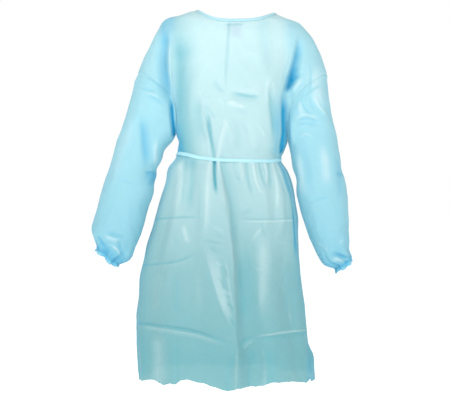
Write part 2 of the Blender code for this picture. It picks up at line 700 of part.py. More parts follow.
def make_sleeve(side, material):
    """A sleeve: one tube from the armhole seam to the gathered wrist."""
    rings = sleeve_rings(side)
    normals = grid_normals(rings, wraps=True) * -side
    seam = armhole_seam(side)
    normals[0] = np.concatenate([seam[FRONT][2][:-1], seam[BACK][2][:0:-1]])
    rings[0] += np.concatenate([seam[FRONT][3][:-1], seam[BACK][3][:0:-1]])
    name = "sleeve_" + side_name(side)
    return build_wall(name, rings, normals, CLOTH, material, wraps=True)


def cuff_rings(side):
    """The elastic casing: the sleeve's last ring carried on along the wrist."""
    last = sleeve_rings(side)[-1]
    middle = last.mean(axis=0)
    onward = unit(np.cross(last[0] - middle, last[YOKE_ROWS // 2] - middle)) * side
    made = []
    for share in np.linspace(0, 1, 4):
        size = 1 - 0.05 * math.sin(math.pi * share) + (CUFF_FLARE - 1) * share
        place = CUFF_GAP + CUFF_LENGTH * share
        made.append(middle + (last - middle) * size + onward * place)
    return np.array(made)


def make_cuff(side, material):
    """The casing that holds the elastic at the wrist."""
    rings = cuff_rings(side)
    normals = grid_normals(rings, wraps=True) * -side
    normals[0] = grid_normals(sleeve_rings(side), wraps=True)[-1] * -side
    name = "cuff_" + side_name(side)
    return build_wall(name, rings, normals, CLOTH, material, wraps=True)


def walk_down(points, normals, distance):
    """The place and the normal at a distance down a line of points."""
    for above, below, lean, next_lean in zip(points, points[1:], normals, normals[1:]):
        reach = np.linalg.norm(below - above)
        if distance <= reach:
            part = distance / reach
            return above + (below - above) * part, unit(lean + (next_lean - lean) * part)
        distance -= reach
    return points[-1], normals[-1]


def neck_stations():
    """Places round the neck edge, from one back edge over the front to the other. Each has a
    point and a normal at the edge, and at two places further down the cloth."""
    stations = []
    for side, facing in ((RIGHT, BACK), (RIGHT, FRONT), (LEFT, FRONT), (LEFT, BACK)):
        points = half_panel(side, facing)
        normals = half_normals(points, side, facing)
        along = np.gradient(points[0, NECK_STEPS:], axis=0)
        upward = unit(np.stack([-along[:, 2], 0 * along[:, 1], along[:, 0]], axis=-1)) * side
        normals[0, NECK_STEPS:] = upward
        lines = [(points[:4, c], normals[:4, c]) for c in range(NECK_STEPS)]
        for part in CORNER_SHARES:
            edge, lean = (
                (1 - part) * grid[0, NECK_STEPS - 1] + part * grid[0, NECK_STEPS]
                for grid in (points, normals)
            )
            ends = np.array([edge, points[1, NECK_STEPS]])
            lines.append((ends, unit(np.array([lean, normals[1, NECK_STEPS]]))))
        lines.append((points[0, NECK_STEPS:], upward))
        run = []
        for down, leans in lines:
            first = np.linalg.norm(down[1] - down[0])
            middle = first if first < 0.8 * BINDING_WIDTH else BINDING_WIDTH / 2
            places = [walk_down(down, leans, reach) for reach in (0.0, middle, BINDING_WIDTH)]
            run.append([place[0] for place in places] + [place[1] for place in places])
        outward_first = (side, facing) in ((RIGHT, BACK), (LEFT, FRONT))
        run = run if outward_first else run[::-1]
        stations += run[1:] if stations else run
    return np.array(stations)


def make_binding(material):
    """The strip folded over the neck edge, with a leg outside and a leg inside."""
    rings = []
    near, far = CLOTH / 2 + BINDING_GAP, CLOTH / 2 + BINDING_GAP + TAPE
    stations = neck_stations()
    along = unit(np.gradient(stations[:, 0], axis=0))
    ups = unit(np.cross(stations[:, 3], along))
    for (edge, middle, low, edge_normal, middle_normal, low_normal), up in zip(stations, ups):
        over, under = up * (BINDING_GAP + TAPE), up * BINDING_GAP
        ring = [low + low_normal * far, middle + middle_normal * far]
        ring += [edge + edge_normal * far + over, edge - edge_normal * far + over]
        ring += [middle - middle_normal * far, low - low_normal * far]
        ring += [low - low_normal * near, middle - middle_normal * near]
        ring += [edge - edge_normal * near + under, edge + edge_normal * near + under]
        ring += [middle + middle_normal * near, low + low_normal * near]
        rings.append(ring)
    return build_sweep("neck_binding", np.array(rings), material)


def build_sweep(name, rings, material):
    """A closed solid through rings of points, with a cap at each end."""
    count, sides = rings.shape[:2]
    faces = []
    for r in range(count - 1):
        for c in range(sides):
            a, b = r * sides + c, r * sides + (c + 1) % sides
            faces.append((a, b, b + sides, a + sides))
    faces.append(tuple(range(sides))[::-1])
    faces.append(tuple((count - 1) * sides + c for c in range(sides)))
    piece = add_mesh(name, rings.reshape(-1, 3), faces, material)
    return piece


def belt_places(share):
    """Points, normals and lifts round the waist, at a share of the way between the two rows of
    cloth that the belt lies across. It is lifted off the left back, which is the inner one."""
    places = []
    for side, facing in ((RIGHT, BACK), (RIGHT, FRONT), (LEFT, FRONT), (LEFT, BACK)):
        points = half_panel(side, facing)
        normals = half_normals(points, side, facing)
        normals[YOKE_ROWS:, -1] = side_seam_normals(side)
        row = YOKE_ROWS + ROWS_BELOW.index(BELT_ABOVE)
        line = points[row] * (1 - share) + points[row + 1] * share
        leans = unit(normals[row] * (1 - share) + normals[row + 1] * share)
        lifts = np.zeros(len(line))
        if (side, facing) == (LEFT, BACK):
            lifts = -2 * overlap_rise(line[:, 0], line[:, 2], LEFT)
            clear = line[:, 0] > places[0][0][0] + 0.010
            line, leans, lifts = line[clear], leans[clear], lifts[clear]
        run = list(zip(line, leans, lifts))
        outward_first = (side, facing) in ((RIGHT, BACK), (LEFT, FRONT))
        run = run if outward_first else run[::-1]
        places += run[1:] if places else run
    return [np.array(column) for column in zip(*places)]


def make_belt(material):
    """The belt: a flat strip round the waist, laid on the cloth."""
    points, normals = [], []
    for height in (WAIST + BELT_WIDTH / 2, WAIST - BELT_WIDTH / 2):
        line, leans, lifts = belt_places((BELT_ABOVE - height) / (BELT_ABOVE - BELT_BELOW))
        out = CLOTH / 2 + TAPE_GAP + TAPE / 2 + lifts
        points.append(line + leans * out[:, None])
        normals.append(leans)
    return build_wall("belt", np.array(points), np.array(normals), TAPE, material, wraps=True)


def make_label(material):
    """The blank label sewn inside the neck, behind the front."""
    inward = CLOTH / 2 + TAPE_GAP + TAPE / 2
    top = float(neckline(np.array(LABEL_MIDDLE_X), FRONT)) - BINDING_WIDTH - LABEL_BELOW_BINDING
    x = LABEL_MIDDLE_X + np.linspace(-LABEL_WIDTH / 2, LABEL_WIDTH / 2, 5)
    rows = []
    for z in np.linspace(top, top - LABEL_HEIGHT, 5):
        y = -yoke_depth(x, np.full(5, z), FRONT)
        rows.append(np.stack([x, y, np.full(5, z)], axis=-1))
    points = np.array(rows)
    normals = grid_normals(points)
    return build_wall("size_label", points - normals * inward, normals, TAPE / 2, material)


def make_knot(name, centre, radii, material):
    """A small rounded knot of strip."""
    turns, rings = 14, 9
    points = []
    for r in range(1, rings):
        polar = math.pi * r / rings
        for t in range(turns):
            around = 2 * math.pi * t / turns
            waist = 1 - 0.10 * math.cos(4 * around) * math.sin(polar)
            direction = (math.sin(polar) * math.cos(around), math.sin(polar) * math.sin(around),
                         math.cos(polar))
            points.append([c + k * waist * d for c, k, d in zip(centre, radii, direction)])
    top, foot = len(points), len(points) + 1
    points.append([centre[0], centre[1], centre[2] + radii[2]])
    points.append([centre[0], centre[1], centre[2] - radii[2]])
    faces = []
    for r in range(rings - 2):
        for t in range(turns):
            a, b = r * turns + t, r * turns + (t + 1) % turns
            faces.append((a, a + turns, b + turns, b))
    for t in range(turns):
        last = (rings - 2) * turns
        faces.append((top, t, (t + 1) % turns))
        faces.append((foot, last + (t + 1) % turns, last + t))
    return add_mesh(name, points, faces, material)


def back_surface_y(x, z):
    """The outermost back cloth near the middle, at any height."""
    if z > CHEST:
        return float(yoke_depth(np.array(x), np.array(z), BACK)) + OVERLAP_STEP
    angles = np.linspace(150, 210, 61)
    points = body_point(angles, np.full(len(angles), z))
    nearest = np.abs(points[:, 0] - x).argmin()
    return float(points[nearest, 1]) + OVERLAP_STEP


def make_tie(tie, knot_centre, knot_radii, material):
    """A tie's free end, hanging down the back from under its knot."""
    start_z = knot_centre[2] - knot_radii[2] - TAPE_GAP
    rows = []
    for share in np.linspace(0, 1, TIE_STEPS + 1):
        z = start_z - tie.length * share
        x = knot_centre[0] + tie.start_x + (tie.end_x - tie.start_x) * smooth(share * 1.2)
        x += tie.swing * math.sin(math.pi * share) * share
        y = back_surface_y(x, z) + CLOTH + tie.lift + 0.004 * math.sin(2.2 * math.pi * share)
        ease = float(smooth(share / 0.15))
        rows.append((x, knot_centre[1] * (1 - ease) + y * ease, z))
    middle = np.array(rows)
    down = unit(np.gradient(middle, axis=0))
    turn = 0.5 * np.sin(1.7 * np.linspace(0, 1, len(middle)) * np.sign(tie.start_x))
    across = np.stack([np.cos(turn), np.sin(turn), 0 * turn], axis=-1)
    across = unit(across - (across * down).sum(-1, keepdims=True) * down)
    points = np.stack([middle + across * tie.width / 2, middle - across * tie.width / 2], axis=1)
    return build_wall(tie.name, points, grid_normals(points), TAPE, material)


def make_material(name, colour, roughness):
    material = bpy.data.materials.new(name)
    material.use_nodes = True
    shader = material.node_tree.nodes["Principled BSDF"]
    shader.inputs["Base Color"].default_value = (*colour, 1.0)
    shader.inputs["Roughness"].default_value = roughness
    shader.inputs["Metallic"].default_value = 0.0
    return material


def main():
    for old in list(bpy.data.objects):
        bpy.data.objects.remove(old, do_unlink=True)
    body_cloth = make_material("body_cloth", (0.58, 0.86, 0.88), 0.55)
    sleeve_cloth = make_material("sleeve_cloth", (0.46, 0.82, 0.92), 0.55)
    strip = make_material("strip_cloth", (0.62, 0.90, 0.95), 0.60)
    elastic = make_material("cuff_cloth", (0.42, 0.78, 0.90), 0.60)
    label = make_material("label_cloth", (0.80, 0.84, 0.95), 0.50)
    make_front(body_cloth)
    for side in (RIGHT, LEFT):
        make_back(side, body_cloth)
        make_sleeve(side, sleeve_cloth)
        make_cuff(side, elastic)
    make_binding(strip)
    make_belt(strip)
    make_label(label)
    for name, level, radii, gap, ties in (
        ("waist_knot", WAIST, WAIST_KNOT, TAPE_GAP + WAIST_KNOT_GAP, WAIST_TIES),
        ("neck_knot", neckline(0.0, BACK) - BINDING_WIDTH / 2, NECK_KNOT,
         BINDING_GAP + NECK_KNOT_GAP, NECK_TIES),
    ):
        x = 0.0 if level > CHEST else float(read(BODY, "left", level) + read(BODY, "right", level)) / 2
        y = back_surface_y(x, level) + CLOTH / 2 + TAPE + gap + radii[1]
        centre = (x, y, float(level))
        make_knot(name, centre, radii, strip)
        for tie in ties:
            make_tie(tie, centre, radii, strip)


main()
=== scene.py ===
# %% [markdown]
# # Dressing a disposable isolation gown
#
# The imported part is a fixed frame: sixteen plain walls of cloth at their real places. This lesson
# puts fine cloth on them. Every panel is computed again from the same few tables as the plain
# walls, only finer, and then creased with short tables of folds.

# %% Load the frame
import json
import math
from collections import namedtuple

import bpy
import numpy as np
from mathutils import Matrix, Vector, noise

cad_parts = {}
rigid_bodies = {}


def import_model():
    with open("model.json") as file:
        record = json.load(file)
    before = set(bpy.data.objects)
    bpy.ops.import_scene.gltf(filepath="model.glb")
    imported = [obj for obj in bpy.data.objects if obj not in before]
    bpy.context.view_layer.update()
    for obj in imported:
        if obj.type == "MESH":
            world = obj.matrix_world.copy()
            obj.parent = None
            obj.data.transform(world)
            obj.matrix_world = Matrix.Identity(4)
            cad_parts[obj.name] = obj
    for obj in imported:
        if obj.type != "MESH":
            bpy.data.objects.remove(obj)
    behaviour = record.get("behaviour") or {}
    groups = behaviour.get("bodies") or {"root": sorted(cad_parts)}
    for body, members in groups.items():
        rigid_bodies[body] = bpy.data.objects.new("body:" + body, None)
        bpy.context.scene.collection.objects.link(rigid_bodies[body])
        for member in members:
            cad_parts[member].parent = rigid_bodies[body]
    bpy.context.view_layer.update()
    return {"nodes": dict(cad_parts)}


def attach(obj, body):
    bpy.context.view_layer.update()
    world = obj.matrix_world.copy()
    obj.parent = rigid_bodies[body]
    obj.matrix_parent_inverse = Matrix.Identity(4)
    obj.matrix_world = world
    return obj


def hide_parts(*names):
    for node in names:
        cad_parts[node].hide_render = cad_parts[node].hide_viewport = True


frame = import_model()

print("nodes in the frame:", len(frame["nodes"]))

# %% [markdown]
# ## Sizes shared by all pieces
#
# A gown is cut flat and takes its form from the body inside it. Here the form is given by tables:
# the body's half widths and depths at each height, the outline of the shoulders and arms, and the
# long folds that fall from the belt. Tables are easy to read and to change, and every panel reads
# the same ones, so their edges meet at the seams.

# %% Sizes
# All sizes are in metres. Heights count down from the neck, left and right are the wearer's.
RIGHT, LEFT = -1, 1
FRONT, BACK = -1, 1
CHEST, WAIST = -0.393, -0.452
CHEST_TILT, WAIST_TILT = 0.011, 0.007
BELT_DIP_FRONT = 0.008
BELT_REACH = 0.10
LEVEL_BELOW = -0.75


def table(kind, rows):
    """Rows of plain values, each with the names of its kind."""
    return [kind(*row) for row in rows]


print("from the underarms to the belt:", round(CHEST - WAIST, 3), "m")

# %% The body's form
Body = namedtuple("Body", "height right left front back square")
BODY = table(Body, (
    (0, -0.195, 0.185, 0.045, 0.045, 2.3),
    (-0.04, -0.195, 0.183, 0.086, 0.08, 2.3),
    (-0.08, -0.194, 0.181, 0.104, 0.1, 2.3),
    (-0.15, -0.192, 0.178, 0.116, 0.112, 2.3),
    (-0.25, -0.189, 0.174, 0.122, 0.116, 2.3),
    (-0.33, -0.185, 0.172, 0.121, 0.113, 2.3),
    (-0.393, -0.18, 0.17, 0.117, 0.109, 2.3),
    (-0.418, -0.171, 0.163, 0.112, 0.105, 2.3),
    (-0.441, -0.174, 0.153, 0.106, 0.101, 2.2),
    (-0.463, -0.181, 0.151, 0.106, 0.101, 2.2),
    (-0.495, -0.202, 0.166, 0.116, 0.118, 2.2),
    (-0.555, -0.215, 0.184, 0.128, 0.134, 2.2),
    (-0.65, -0.241, 0.197, 0.139, 0.15, 2.2),
    (-0.74, -0.268, 0.2, 0.148, 0.16, 2.2),
    (-0.83, -0.286, 0.206, 0.156, 0.167, 2.2),
    (-0.96, -0.294, 0.223, 0.163, 0.173, 2.2),
    (-1.08, -0.293, 0.234, 0.168, 0.176, 2.2),
    (-1.2, -0.288, 0.241, 0.17, 0.178, 2.2),
))
Outline = namedtuple("Outline", "height right left")
OUTLINE = table(Outline, (
    (0, -0.112, 0.104),
    (-0.009, -0.143, 0.124),
    (-0.018, -0.174, 0.146),
    (-0.028, -0.208, 0.17),
    (-0.04, -0.223, 0.2),
    (-0.053, -0.231, 0.214),
    (-0.09, -0.252, 0.243),
    (-0.121, -0.265, 0.259),
    (-0.152, -0.279, 0.272),
    (-0.197, -0.298, 0.289),
    (-0.245, -0.313, 0.294),
    (-0.307, -0.332, 0.301),
    (-0.41, -0.36, 0.318),
))
print("body:", len(BODY), "sections, with", len(OUTLINE), "on the shoulders and arms")

# %% Side seams
# Angles are counted from the front's middle, and overlap is how far each back passes the middle.
Seam = namedtuple("Seam", "height right left overlap")
SEAMS = table(Seam, (
    (0, 90, 90, -0.007),
    (-0.06, 90, 90, -0.006),
    (-0.393, 90, 90, 0.022),
    (-0.45, 86, 76, 0.028),
    (-0.65, 84, 68, 0.038),
    (-0.8, 86, 78, 0.042),
    (-1.2, 88, 84, 0.05),
))
print("side seams at the belt:", SEAMS[3].right, "and", SEAMS[3].left, "degrees")

# %% Long folds
# Each hangs from top to foot, at three angles on its way. Near and far are its two flanks.
Fold = namedtuple("Fold", "top foot at_top at_middle at_foot rise near far")
FOLDS = table(Fold, (
    (-0.47, -1.4, -13, 5, 7, 0.02, 0.05, 0.012),
    (-0.47, -1.4, -3, 14, 17, -0.014, 0.018, 0.034),
    (-0.47, -1.02, -24, -8, 2, 0.007, 0.02, 0.016),
    (-0.47, -0.76, -44, -42, -40, 0.009, 0.022, 0.022),
    (-0.48, -1.4, -62, -55, -50, -0.009, 0.04, 0.03),
    (-0.6, -1.4, -36, -34, -30, 0.008, 0.05, 0.04),
    (-0.47, -0.7, 29, 30, 31, 0.008, 0.014, 0.016),
    (-0.47, -0.72, 49, 44, 42, 0.008, 0.016, 0.016),
    (-0.62, -1.4, 24, 26, 34, 0.01, 0.04, 0.05),
    (-0.7, -1.4, 50, 50, 56, -0.008, 0.035, 0.04),
    (-1.01, -1.4, 92, 93, 94, 0.018, 0.028, 0.04),
    (-0.47, -1.4, 112, 116, 118, 0.016, 0.03, 0.026),
    (-0.48, -1.4, 128, 133, 136, -0.012, 0.028, 0.028),
    (-0.47, -1.4, 143, 148, 152, 0.017, 0.028, 0.034),
    (-0.5, -1.4, 165, 168, 170, -0.009, 0.034, 0.034),
    (-0.48, -1.4, -160, -164, -166, 0.01, 0.034, 0.03),
    (-0.48, -1.4, -145, -147, -150, -0.012, 0.028, 0.026),
    (-0.47, -1.4, -128, -131, -133, 0.018, 0.032, 0.028),
    (-0.48, -1.4, -112, -114, -116, -0.012, 0.03, 0.03),
    (-0.5, -1.4, -98, -98, -98, 0.01, 0.03, 0.034),
))
FOLD_GROWTH = 0.085
print("long folds:", len(FOLDS))

# %% The hem's height round the gown
Hem = namedtuple("Hem", "angle height")
HEM = table(Hem, (
    (-180, -1.132),
    (-140, -1.124),
    (-105, -1.138),
    (-85, -1.145),
    (-58, -1.146),
    (-42, -1.141),
    (-33, -1.12),
    (-15, -1.127),
    (0, -1.141),
    (20, -1.131),
    (45, -1.126),
    (72, -1.14),
    (88, -1.144),
    (98, -1.12),
    (125, -1.136),
    (155, -1.124),
    (180, -1.132),
))
print("hem points:", len(HEM))

# %% [markdown]
# ## Camera
#
# The gown is seen straight from the front, from about three metres, at the height of its middle.
# A lens could be tried out by eye. Here it is worked out from the width that the picture covers at
# the gown's own plane, so that every place in the view can be found again by the same rule.

# %% Camera
EYE = Vector((-0.028, -3.0, -0.586))
PICTURE_WIDTH = 1.395
camera_data = bpy.data.cameras.new("camera")
camera_data.lens = camera_data.sensor_width * -EYE.y / PICTURE_WIDTH
camera = bpy.data.objects.new("camera", camera_data)
camera.location = EYE
camera.rotation_euler = (math.radians(90), 0, 0)
bpy.context.scene.collection.objects.link(camera)
bpy.context.scene.camera = camera
print("lens", round(camera_data.lens, 1), "mm")


# %% [markdown]
# ## Reading the tables
#
# A gown hangs in smooth lines between its few fixed places. Blender's own curves could be drawn
# through them, but a few small functions turn the tables into lines and then into points on the
# cloth, and with numpy a whole row of points is worked out at once.

# %% Smooth lines through a table
def smooth(share):
    """A share from 0 to 1 that starts and ends softly."""
    share = np.clip(share, 0.0, 1.0)
    return share * share * (3 - 2 * share)


def follow(knots, values, at):
    """The values at new places, on a smooth line through the knots that never overshoots them."""
    knots, values = np.asarray(knots, float), np.asarray(values, float)
    if knots[0] > knots[-1]:
        knots, values = knots[::-1], values[::-1]
    at = np.asarray(at, float)
    steps = np.diff(knots)
    slopes = np.diff(values) / steps
    before, after = slopes[:-1], slopes[1:]
    turning = before * after <= 0
    total = np.where(turning, 1.0, before + after)
    inner = np.where(turning, 0.0, 2 * before * after / total)
    tangents = np.concatenate([slopes[:1], inner, slopes[-1:]])
    i = np.clip(np.searchsorted(knots, at) - 1, 0, len(steps) - 1)
    t = np.clip((at - knots[i]) / steps[i], 0.0, 1.0)
    ends = values[i] * (1 + 2 * t) * (1 - t) ** 2 + values[i + 1] * t * t * (3 - 2 * t)
    return ends + steps[i] * t * (1 - t) * (tangents[i] * (1 - t) - tangents[i + 1] * t)


def read(table, column, at, knot="height"):
    """One column of a table at new places."""
    knots = [getattr(row, knot) for row in table]
    return follow(knots, [getattr(row, column) for row in table], at)


def side_name(side):
    return "right" if side == RIGHT else "left"


def unit(vectors):
    """Vectors with the length 1."""
    return vectors / np.maximum(np.linalg.norm(vectors, axis=-1, keepdims=True), 1e-12)


def run_lengths(points):
    """How far each point is from the first, along the line."""
    return np.concatenate([[0.0], np.cumsum(np.linalg.norm(np.diff(points, axis=0), axis=-1))])


def body_middle(z):
    """Where the body's middle is, left or right, at a height."""
    return (read(BODY, "left", z) + read(BODY, "right", z)) / 2


def body_half(z):
    """Half the body's width at a height."""
    return (read(BODY, "left", z) - read(BODY, "right", z)) / 2


print("half width at the belt:", round(float(body_half(WAIST)), 3), "m")


# %% The body's surface below the underarms
def fold_rise(angle, height):
    """How far the long folds push the cloth out, at an angle in degrees and a height."""
    radius = (body_half(height) + (read(BODY, "front", height) + read(BODY, "back", height)) / 2) / 2
    hem = HEM[0].height
    total = np.zeros(np.broadcast(angle, height).shape)
    for fold in FOLDS:
        levels = [WAIST, (WAIST + hem) / 2, hem]
        at = follow(levels, [fold.at_top, fold.at_middle, fold.at_foot], height)
        away = np.radians((angle - at + 180) % 360 - 180) * radius
        flank = np.where(away < 0, fold.near, fold.far)
        grown = smooth((fold.top - height) / FOLD_GROWTH) * smooth((height - fold.foot) / FOLD_GROWTH)
        total = total + fold.rise * grown * np.exp(-((away / flank) ** 2))
    return total


OVERLAP_STEP = 0.0033
OVERLAP_FADE = 0.055
CENTRE_FADE = 0.10


def centre_share(z):
    """How far the gown's middle follows the body's, which it does fully below the underarms."""
    return smooth((CHEST + CENTRE_FADE - z) / CENTRE_FADE)


def overlap_rise(x, z, side):
    """The step between the two backs where they cross over: the right one is outside."""
    away = np.abs(x - body_middle(z) * centre_share(z))
    return -side * OVERLAP_STEP * (1 - smooth((away - OVERLAP_FADE) / OVERLAP_FADE))


def row_height(angle, height):
    """A row's real height: rows tilt towards the left side and dip in front at the belt."""
    sine, cosine = np.sin(np.radians(angle)), np.cos(np.radians(angle))
    tilt = follow([LEVEL_BELOW, WAIST, CHEST], [0.0, WAIST_TILT, CHEST_TILT], height)
    dip = np.exp(-(((height - WAIST) / BELT_REACH) ** 2)) * smooth((CHEST - height) / (CHEST - WAIST))
    return height - tilt * sine - BELT_DIP_FRONT * cosine * dip


def body_point(angle, height):
    """A point of the body's surface at or below the underarms."""
    z = row_height(angle, height)
    right, left = read(BODY, "right", height), read(BODY, "left", height)
    front, back = read(BODY, "front", height), read(BODY, "back", height)
    power = 2 / read(BODY, "square", height)
    sine, cosine = np.sin(np.radians(angle)), np.cos(np.radians(angle))
    half, depth = (left - right) / 2, np.where(cosine > 0, front, back)
    x = (left + right) / 2 + half * np.sign(sine) * np.abs(sine) ** power
    y = -depth * np.sign(cosine) * np.abs(cosine) ** power
    nx, ny = sine / half, -cosine / depth
    length = np.hypot(nx, ny)
    rise = fold_rise(angle, z)
    return np.stack(np.broadcast_arrays(x + rise * nx / length, y + rise * ny / length, z), axis=-1)


print("the belt's middle in front:", body_point(np.zeros(1), np.full(1, WAIST))[0].round(3))

# %% [markdown]
# ## Chest, shoulders and upper arms
#
# At the shoulders, body and arms are one form under the cloth. Further down the arm is a form of
# its own beside the chest. Two solids joined by a modifier would leave a hard line between them.
# A blend of two rounded depths, the one fading into the other on the way down, leaves none.

# %% Depth of the yoke
MERGED_ABOVE, PARTED_BELOW = -0.060, -0.190
ARM_LAP, ARM_LAP_REACH = 0.045, 0.30
ARM_DEPTH, NARROWEST_ARM = 0.95, 0.01
UNION_POWER = 4.0


def yoke_depth(x, z, facing):
    """Distance of the cloth from y = 0: one form at the shoulders, which parts further down."""
    depth = read(BODY, "front" if facing == FRONT else "back", z)
    square = read(BODY, "square", z)
    outer = np.where(x < 0, -read(OUTLINE, "right", z), read(OUTLINE, "left", z))
    side = np.where(x < 0, -read(BODY, "right", z), read(BODY, "left", z))
    across = np.abs(x)

    def bulge(share, size, power):
        return size * (1 - np.clip(share, 0.0, 1.0) ** power) ** (1 / power)

    merged = bulge(across / outer, depth, square)
    rise = np.clip((z - CHEST + CHEST_TILT * np.sign(x)) / ARM_LAP_REACH, 0.0, 1.0)
    half_arm = np.maximum(outer - side + ARM_LAP * rise * (2 - rise), NARROWEST_ARM) / 2
    arm = bulge(np.abs(across - (outer - half_arm)) / half_arm, ARM_DEPTH * half_arm, 2.0)
    centred = centre_share(z)
    torso_share = (1 - centred) * across / side + centred * np.abs(x - body_middle(z)) / body_half(z)
    torso = bulge(torso_share, depth, square)
    parted = (torso**UNION_POWER + arm**UNION_POWER) ** (1 / UNION_POWER)
    apart = smooth((MERGED_ABOVE - z) / (MERGED_ABOVE - PARTED_BELOW))
    return merged * (1 - apart) + parted * apart


chest_depth = yoke_depth(np.zeros(1), np.full(1, CHEST), FRONT)[0]
print("depth of the front at the chest:", round(float(chest_depth), 3), "m")

# %% Neckline and shoulder line
NECK_CORNER_HEIGHTS = {RIGHT: 0.0, LEFT: -0.009}
NECK_DROPS = {FRONT: 0.041, BACK: 0.036}
NECK_SQUARENESS = 3.0
ARMHOLE_TOP = -0.197
SHOULDER_SAMPLES = 400


def neckline(x, facing):
    """Height of the neck's edge: level in the middle and squared off towards the corners."""
    right, left = (float(read(OUTLINE, side_name(s), NECK_CORNER_HEIGHTS[s])) for s in (RIGHT, LEFT))
    corner = np.where(x < 0, NECK_CORNER_HEIGHTS[RIGHT], NECK_CORNER_HEIGHTS[LEFT])
    out = np.clip(np.where(x < 0, x / right, x / left), 0, 1) ** NECK_SQUARENESS
    return corner * out - NECK_DROPS[facing] * (1 - out)


def shoulder_line(side, steps):
    """Evenly spaced places down the shoulder seam, from the neck to the armhole."""
    heights = np.linspace(NECK_CORNER_HEIGHTS[side], ARMHOLE_TOP, SHOULDER_SAMPLES)
    across = read(OUTLINE, side_name(side), heights)
    lengths = run_lengths(np.stack([across, heights], axis=-1))
    at = np.linspace(0, lengths[-1], steps + 1)
    return np.stack([np.interp(at, lengths, across), np.interp(at, lengths, heights)], axis=-1)


print("shoulder seam:", round(float(run_lengths(shoulder_line(RIGHT, 60))[-1]), 3), "m")

# %% The armhole seam
ARMHOLE_LEAVES = (0.075, -0.045)
ARMHOLE_ARRIVES = (0.020, 0.140)


def armhole_arc(side, shares):
    """The armhole seam in the front view, from its top end (share 0) to the underarm (1)."""
    top = shoulder_line(side, 9)[-1]
    foot = body_point(side * 90.0, CHEST)[[0, 2]]
    leave = top + np.array(ARMHOLE_LEAVES) * (-side, 1)
    arrive = foot + np.array(ARMHOLE_ARRIVES) * (-side, 1)
    q = np.asarray(shares, float)[:, None]
    curve = top * (1 - q) ** 3 + 3 * leave * (1 - q) ** 2 * q
    return curve + 3 * arrive * (1 - q) * q * q + foot * q**3


def armhole_loop(side, facing, shares):
    """The armhole seam in space, on the front or on the back."""
    arc = armhole_arc(side, shares)
    y = facing * yoke_depth(arc[:, 0], arc[:, 1], facing)
    y[[0, -1]] = 0.0
    return np.stack([arc[:, 0], y, arc[:, 1]], axis=-1)


armhole = armhole_loop(RIGHT, FRONT, np.linspace(0, 1, 50))
print("armhole seam in front:", round(float(run_lengths(armhole)[-1]), 3), "m")

# %% [markdown]
# ## Half a panel as a grid
#
# The front and the two backs are grids of rows and columns, like a sheet of graph paper laid on
# the form. A cloth simulation could drape them too, but then the folds would fall where they
# like. A grid that follows the form puts every fold where this gown has it.

# %% Edges of a panel
NECK_STEPS, SHOULDER_STEPS = 54, 66
YOKE_ROWS = 130
SKIRT_ROW = 0.0030
HEM_REACH = 0.07
SKIRT_HEIGHTS = np.arange(CHEST, HEM[0].height + HEM_REACH, -SKIRT_ROW)


def back_edge_x(side, height):
    """Where a back's free edge is: past the middle, by the overlap."""
    return -side * read(SEAMS, "overlap", height)


def top_edge(side, facing, neck_steps, shoulder_steps):
    """A panel's top edge as seen from the front: along the neck, then down the shoulder."""
    shoulder = shoulder_line(side, shoulder_steps)
    corner = shoulder[0, 0]
    start = 0.0 if facing == FRONT else back_edge_x(side, 0.0)
    turn = np.linspace(math.asin(start / corner), math.pi / 2, neck_steps + 1)[:-1]
    neck = np.stack([corner * np.sin(turn), neckline(corner * np.sin(turn), facing)], axis=-1)
    return np.concatenate([neck, shoulder])


def lay_on_yoke(side, facing, flat):
    """Places as seen from the front, laid on the form at the shoulders."""
    x, z = flat[..., 0], flat[..., 1]
    y = yoke_depth(x, z, facing)
    if facing == BACK:
        y = y + overlap_rise(x, z, side)
    return np.stack([x, facing * y, z], axis=-1)


def length_shares(points):
    """How far along the line each point is, from 0 to 1."""
    lengths = run_lengths(points)
    return lengths / lengths[-1]


def pick_at(wanted, known, points):
    """Points at wanted places of a line, where those at known places are given."""
    return np.stack([np.interp(wanted, known, points[:, k]) for k in range(points.shape[1])], axis=-1)


print("rows below the chest:", len(SKIRT_HEIGHTS))

# %% Half panels
FINE_STEPS = 450
JOIN_ROWS, JOIN_PASSES = 8, 12


def half_panel(side, facing):
    """Rows of points from the top edge down; the first column is at the middle or free edge."""
    top = lay_on_yoke(side, facing, top_edge(side, facing, NECK_STEPS, SHOULDER_STEPS))
    top[NECK_STEPS:, 1] = 0.0
    share = np.linspace(0, 1, len(top))
    chest = panel_row(side, facing, share, CHEST)
    fine = np.linspace(0, 1, 2 * FINE_STEPS)
    fine_top = top_edge(side, facing, FINE_STEPS, FINE_STEPS)
    laid = lay_on_yoke(side, facing, fine_top)
    laid[FINE_STEPS:, 1] = 0.0
    fine_top = pick_at(fine, length_shares(laid), fine_top)
    fine_chest = panel_row(side, facing, fine, CHEST)
    fine_chest = pick_at(fine, length_shares(fine_chest), fine_chest[:, [0, 2]])
    rows = [top]
    for row in range(1, YOKE_ROWS):
        t = row / YOKE_ROWS
        q = t * t * (5 - 3 * t) / 2
        flat = (1 - q) * fine_top + q * fine_chest
        flat += (fine**1.5)[:, None] * (armhole_arc(side, [q])[0] - flat[-1])
        if facing == BACK:
            shift = back_edge_x(side, flat[:, 1]) - flat[0, 0]
            flat[:, 0] += shift * (1 - smooth(fine / 0.5)) * (1 - q)
        laid = lay_on_yoke(side, facing, flat)
        wanted = (1 - q) * length_shares(top) + q * length_shares(chest)
        rows.append(lay_on_yoke(side, facing, pick_at(wanted, length_shares(laid), flat)))
    rows.append(chest)
    last = SKIRT_HEIGHTS[-1]
    for height in SKIRT_HEIGHTS[1:]:
        rows.append(panel_row(side, facing, share, height))
    steps = int(round((last - HEM[0].height) / SKIRT_ROW))
    for step in range(1, steps + 1):
        rows.append(panel_row(side, facing, share, last, step / steps))
    return ease_join(np.array(rows), share)


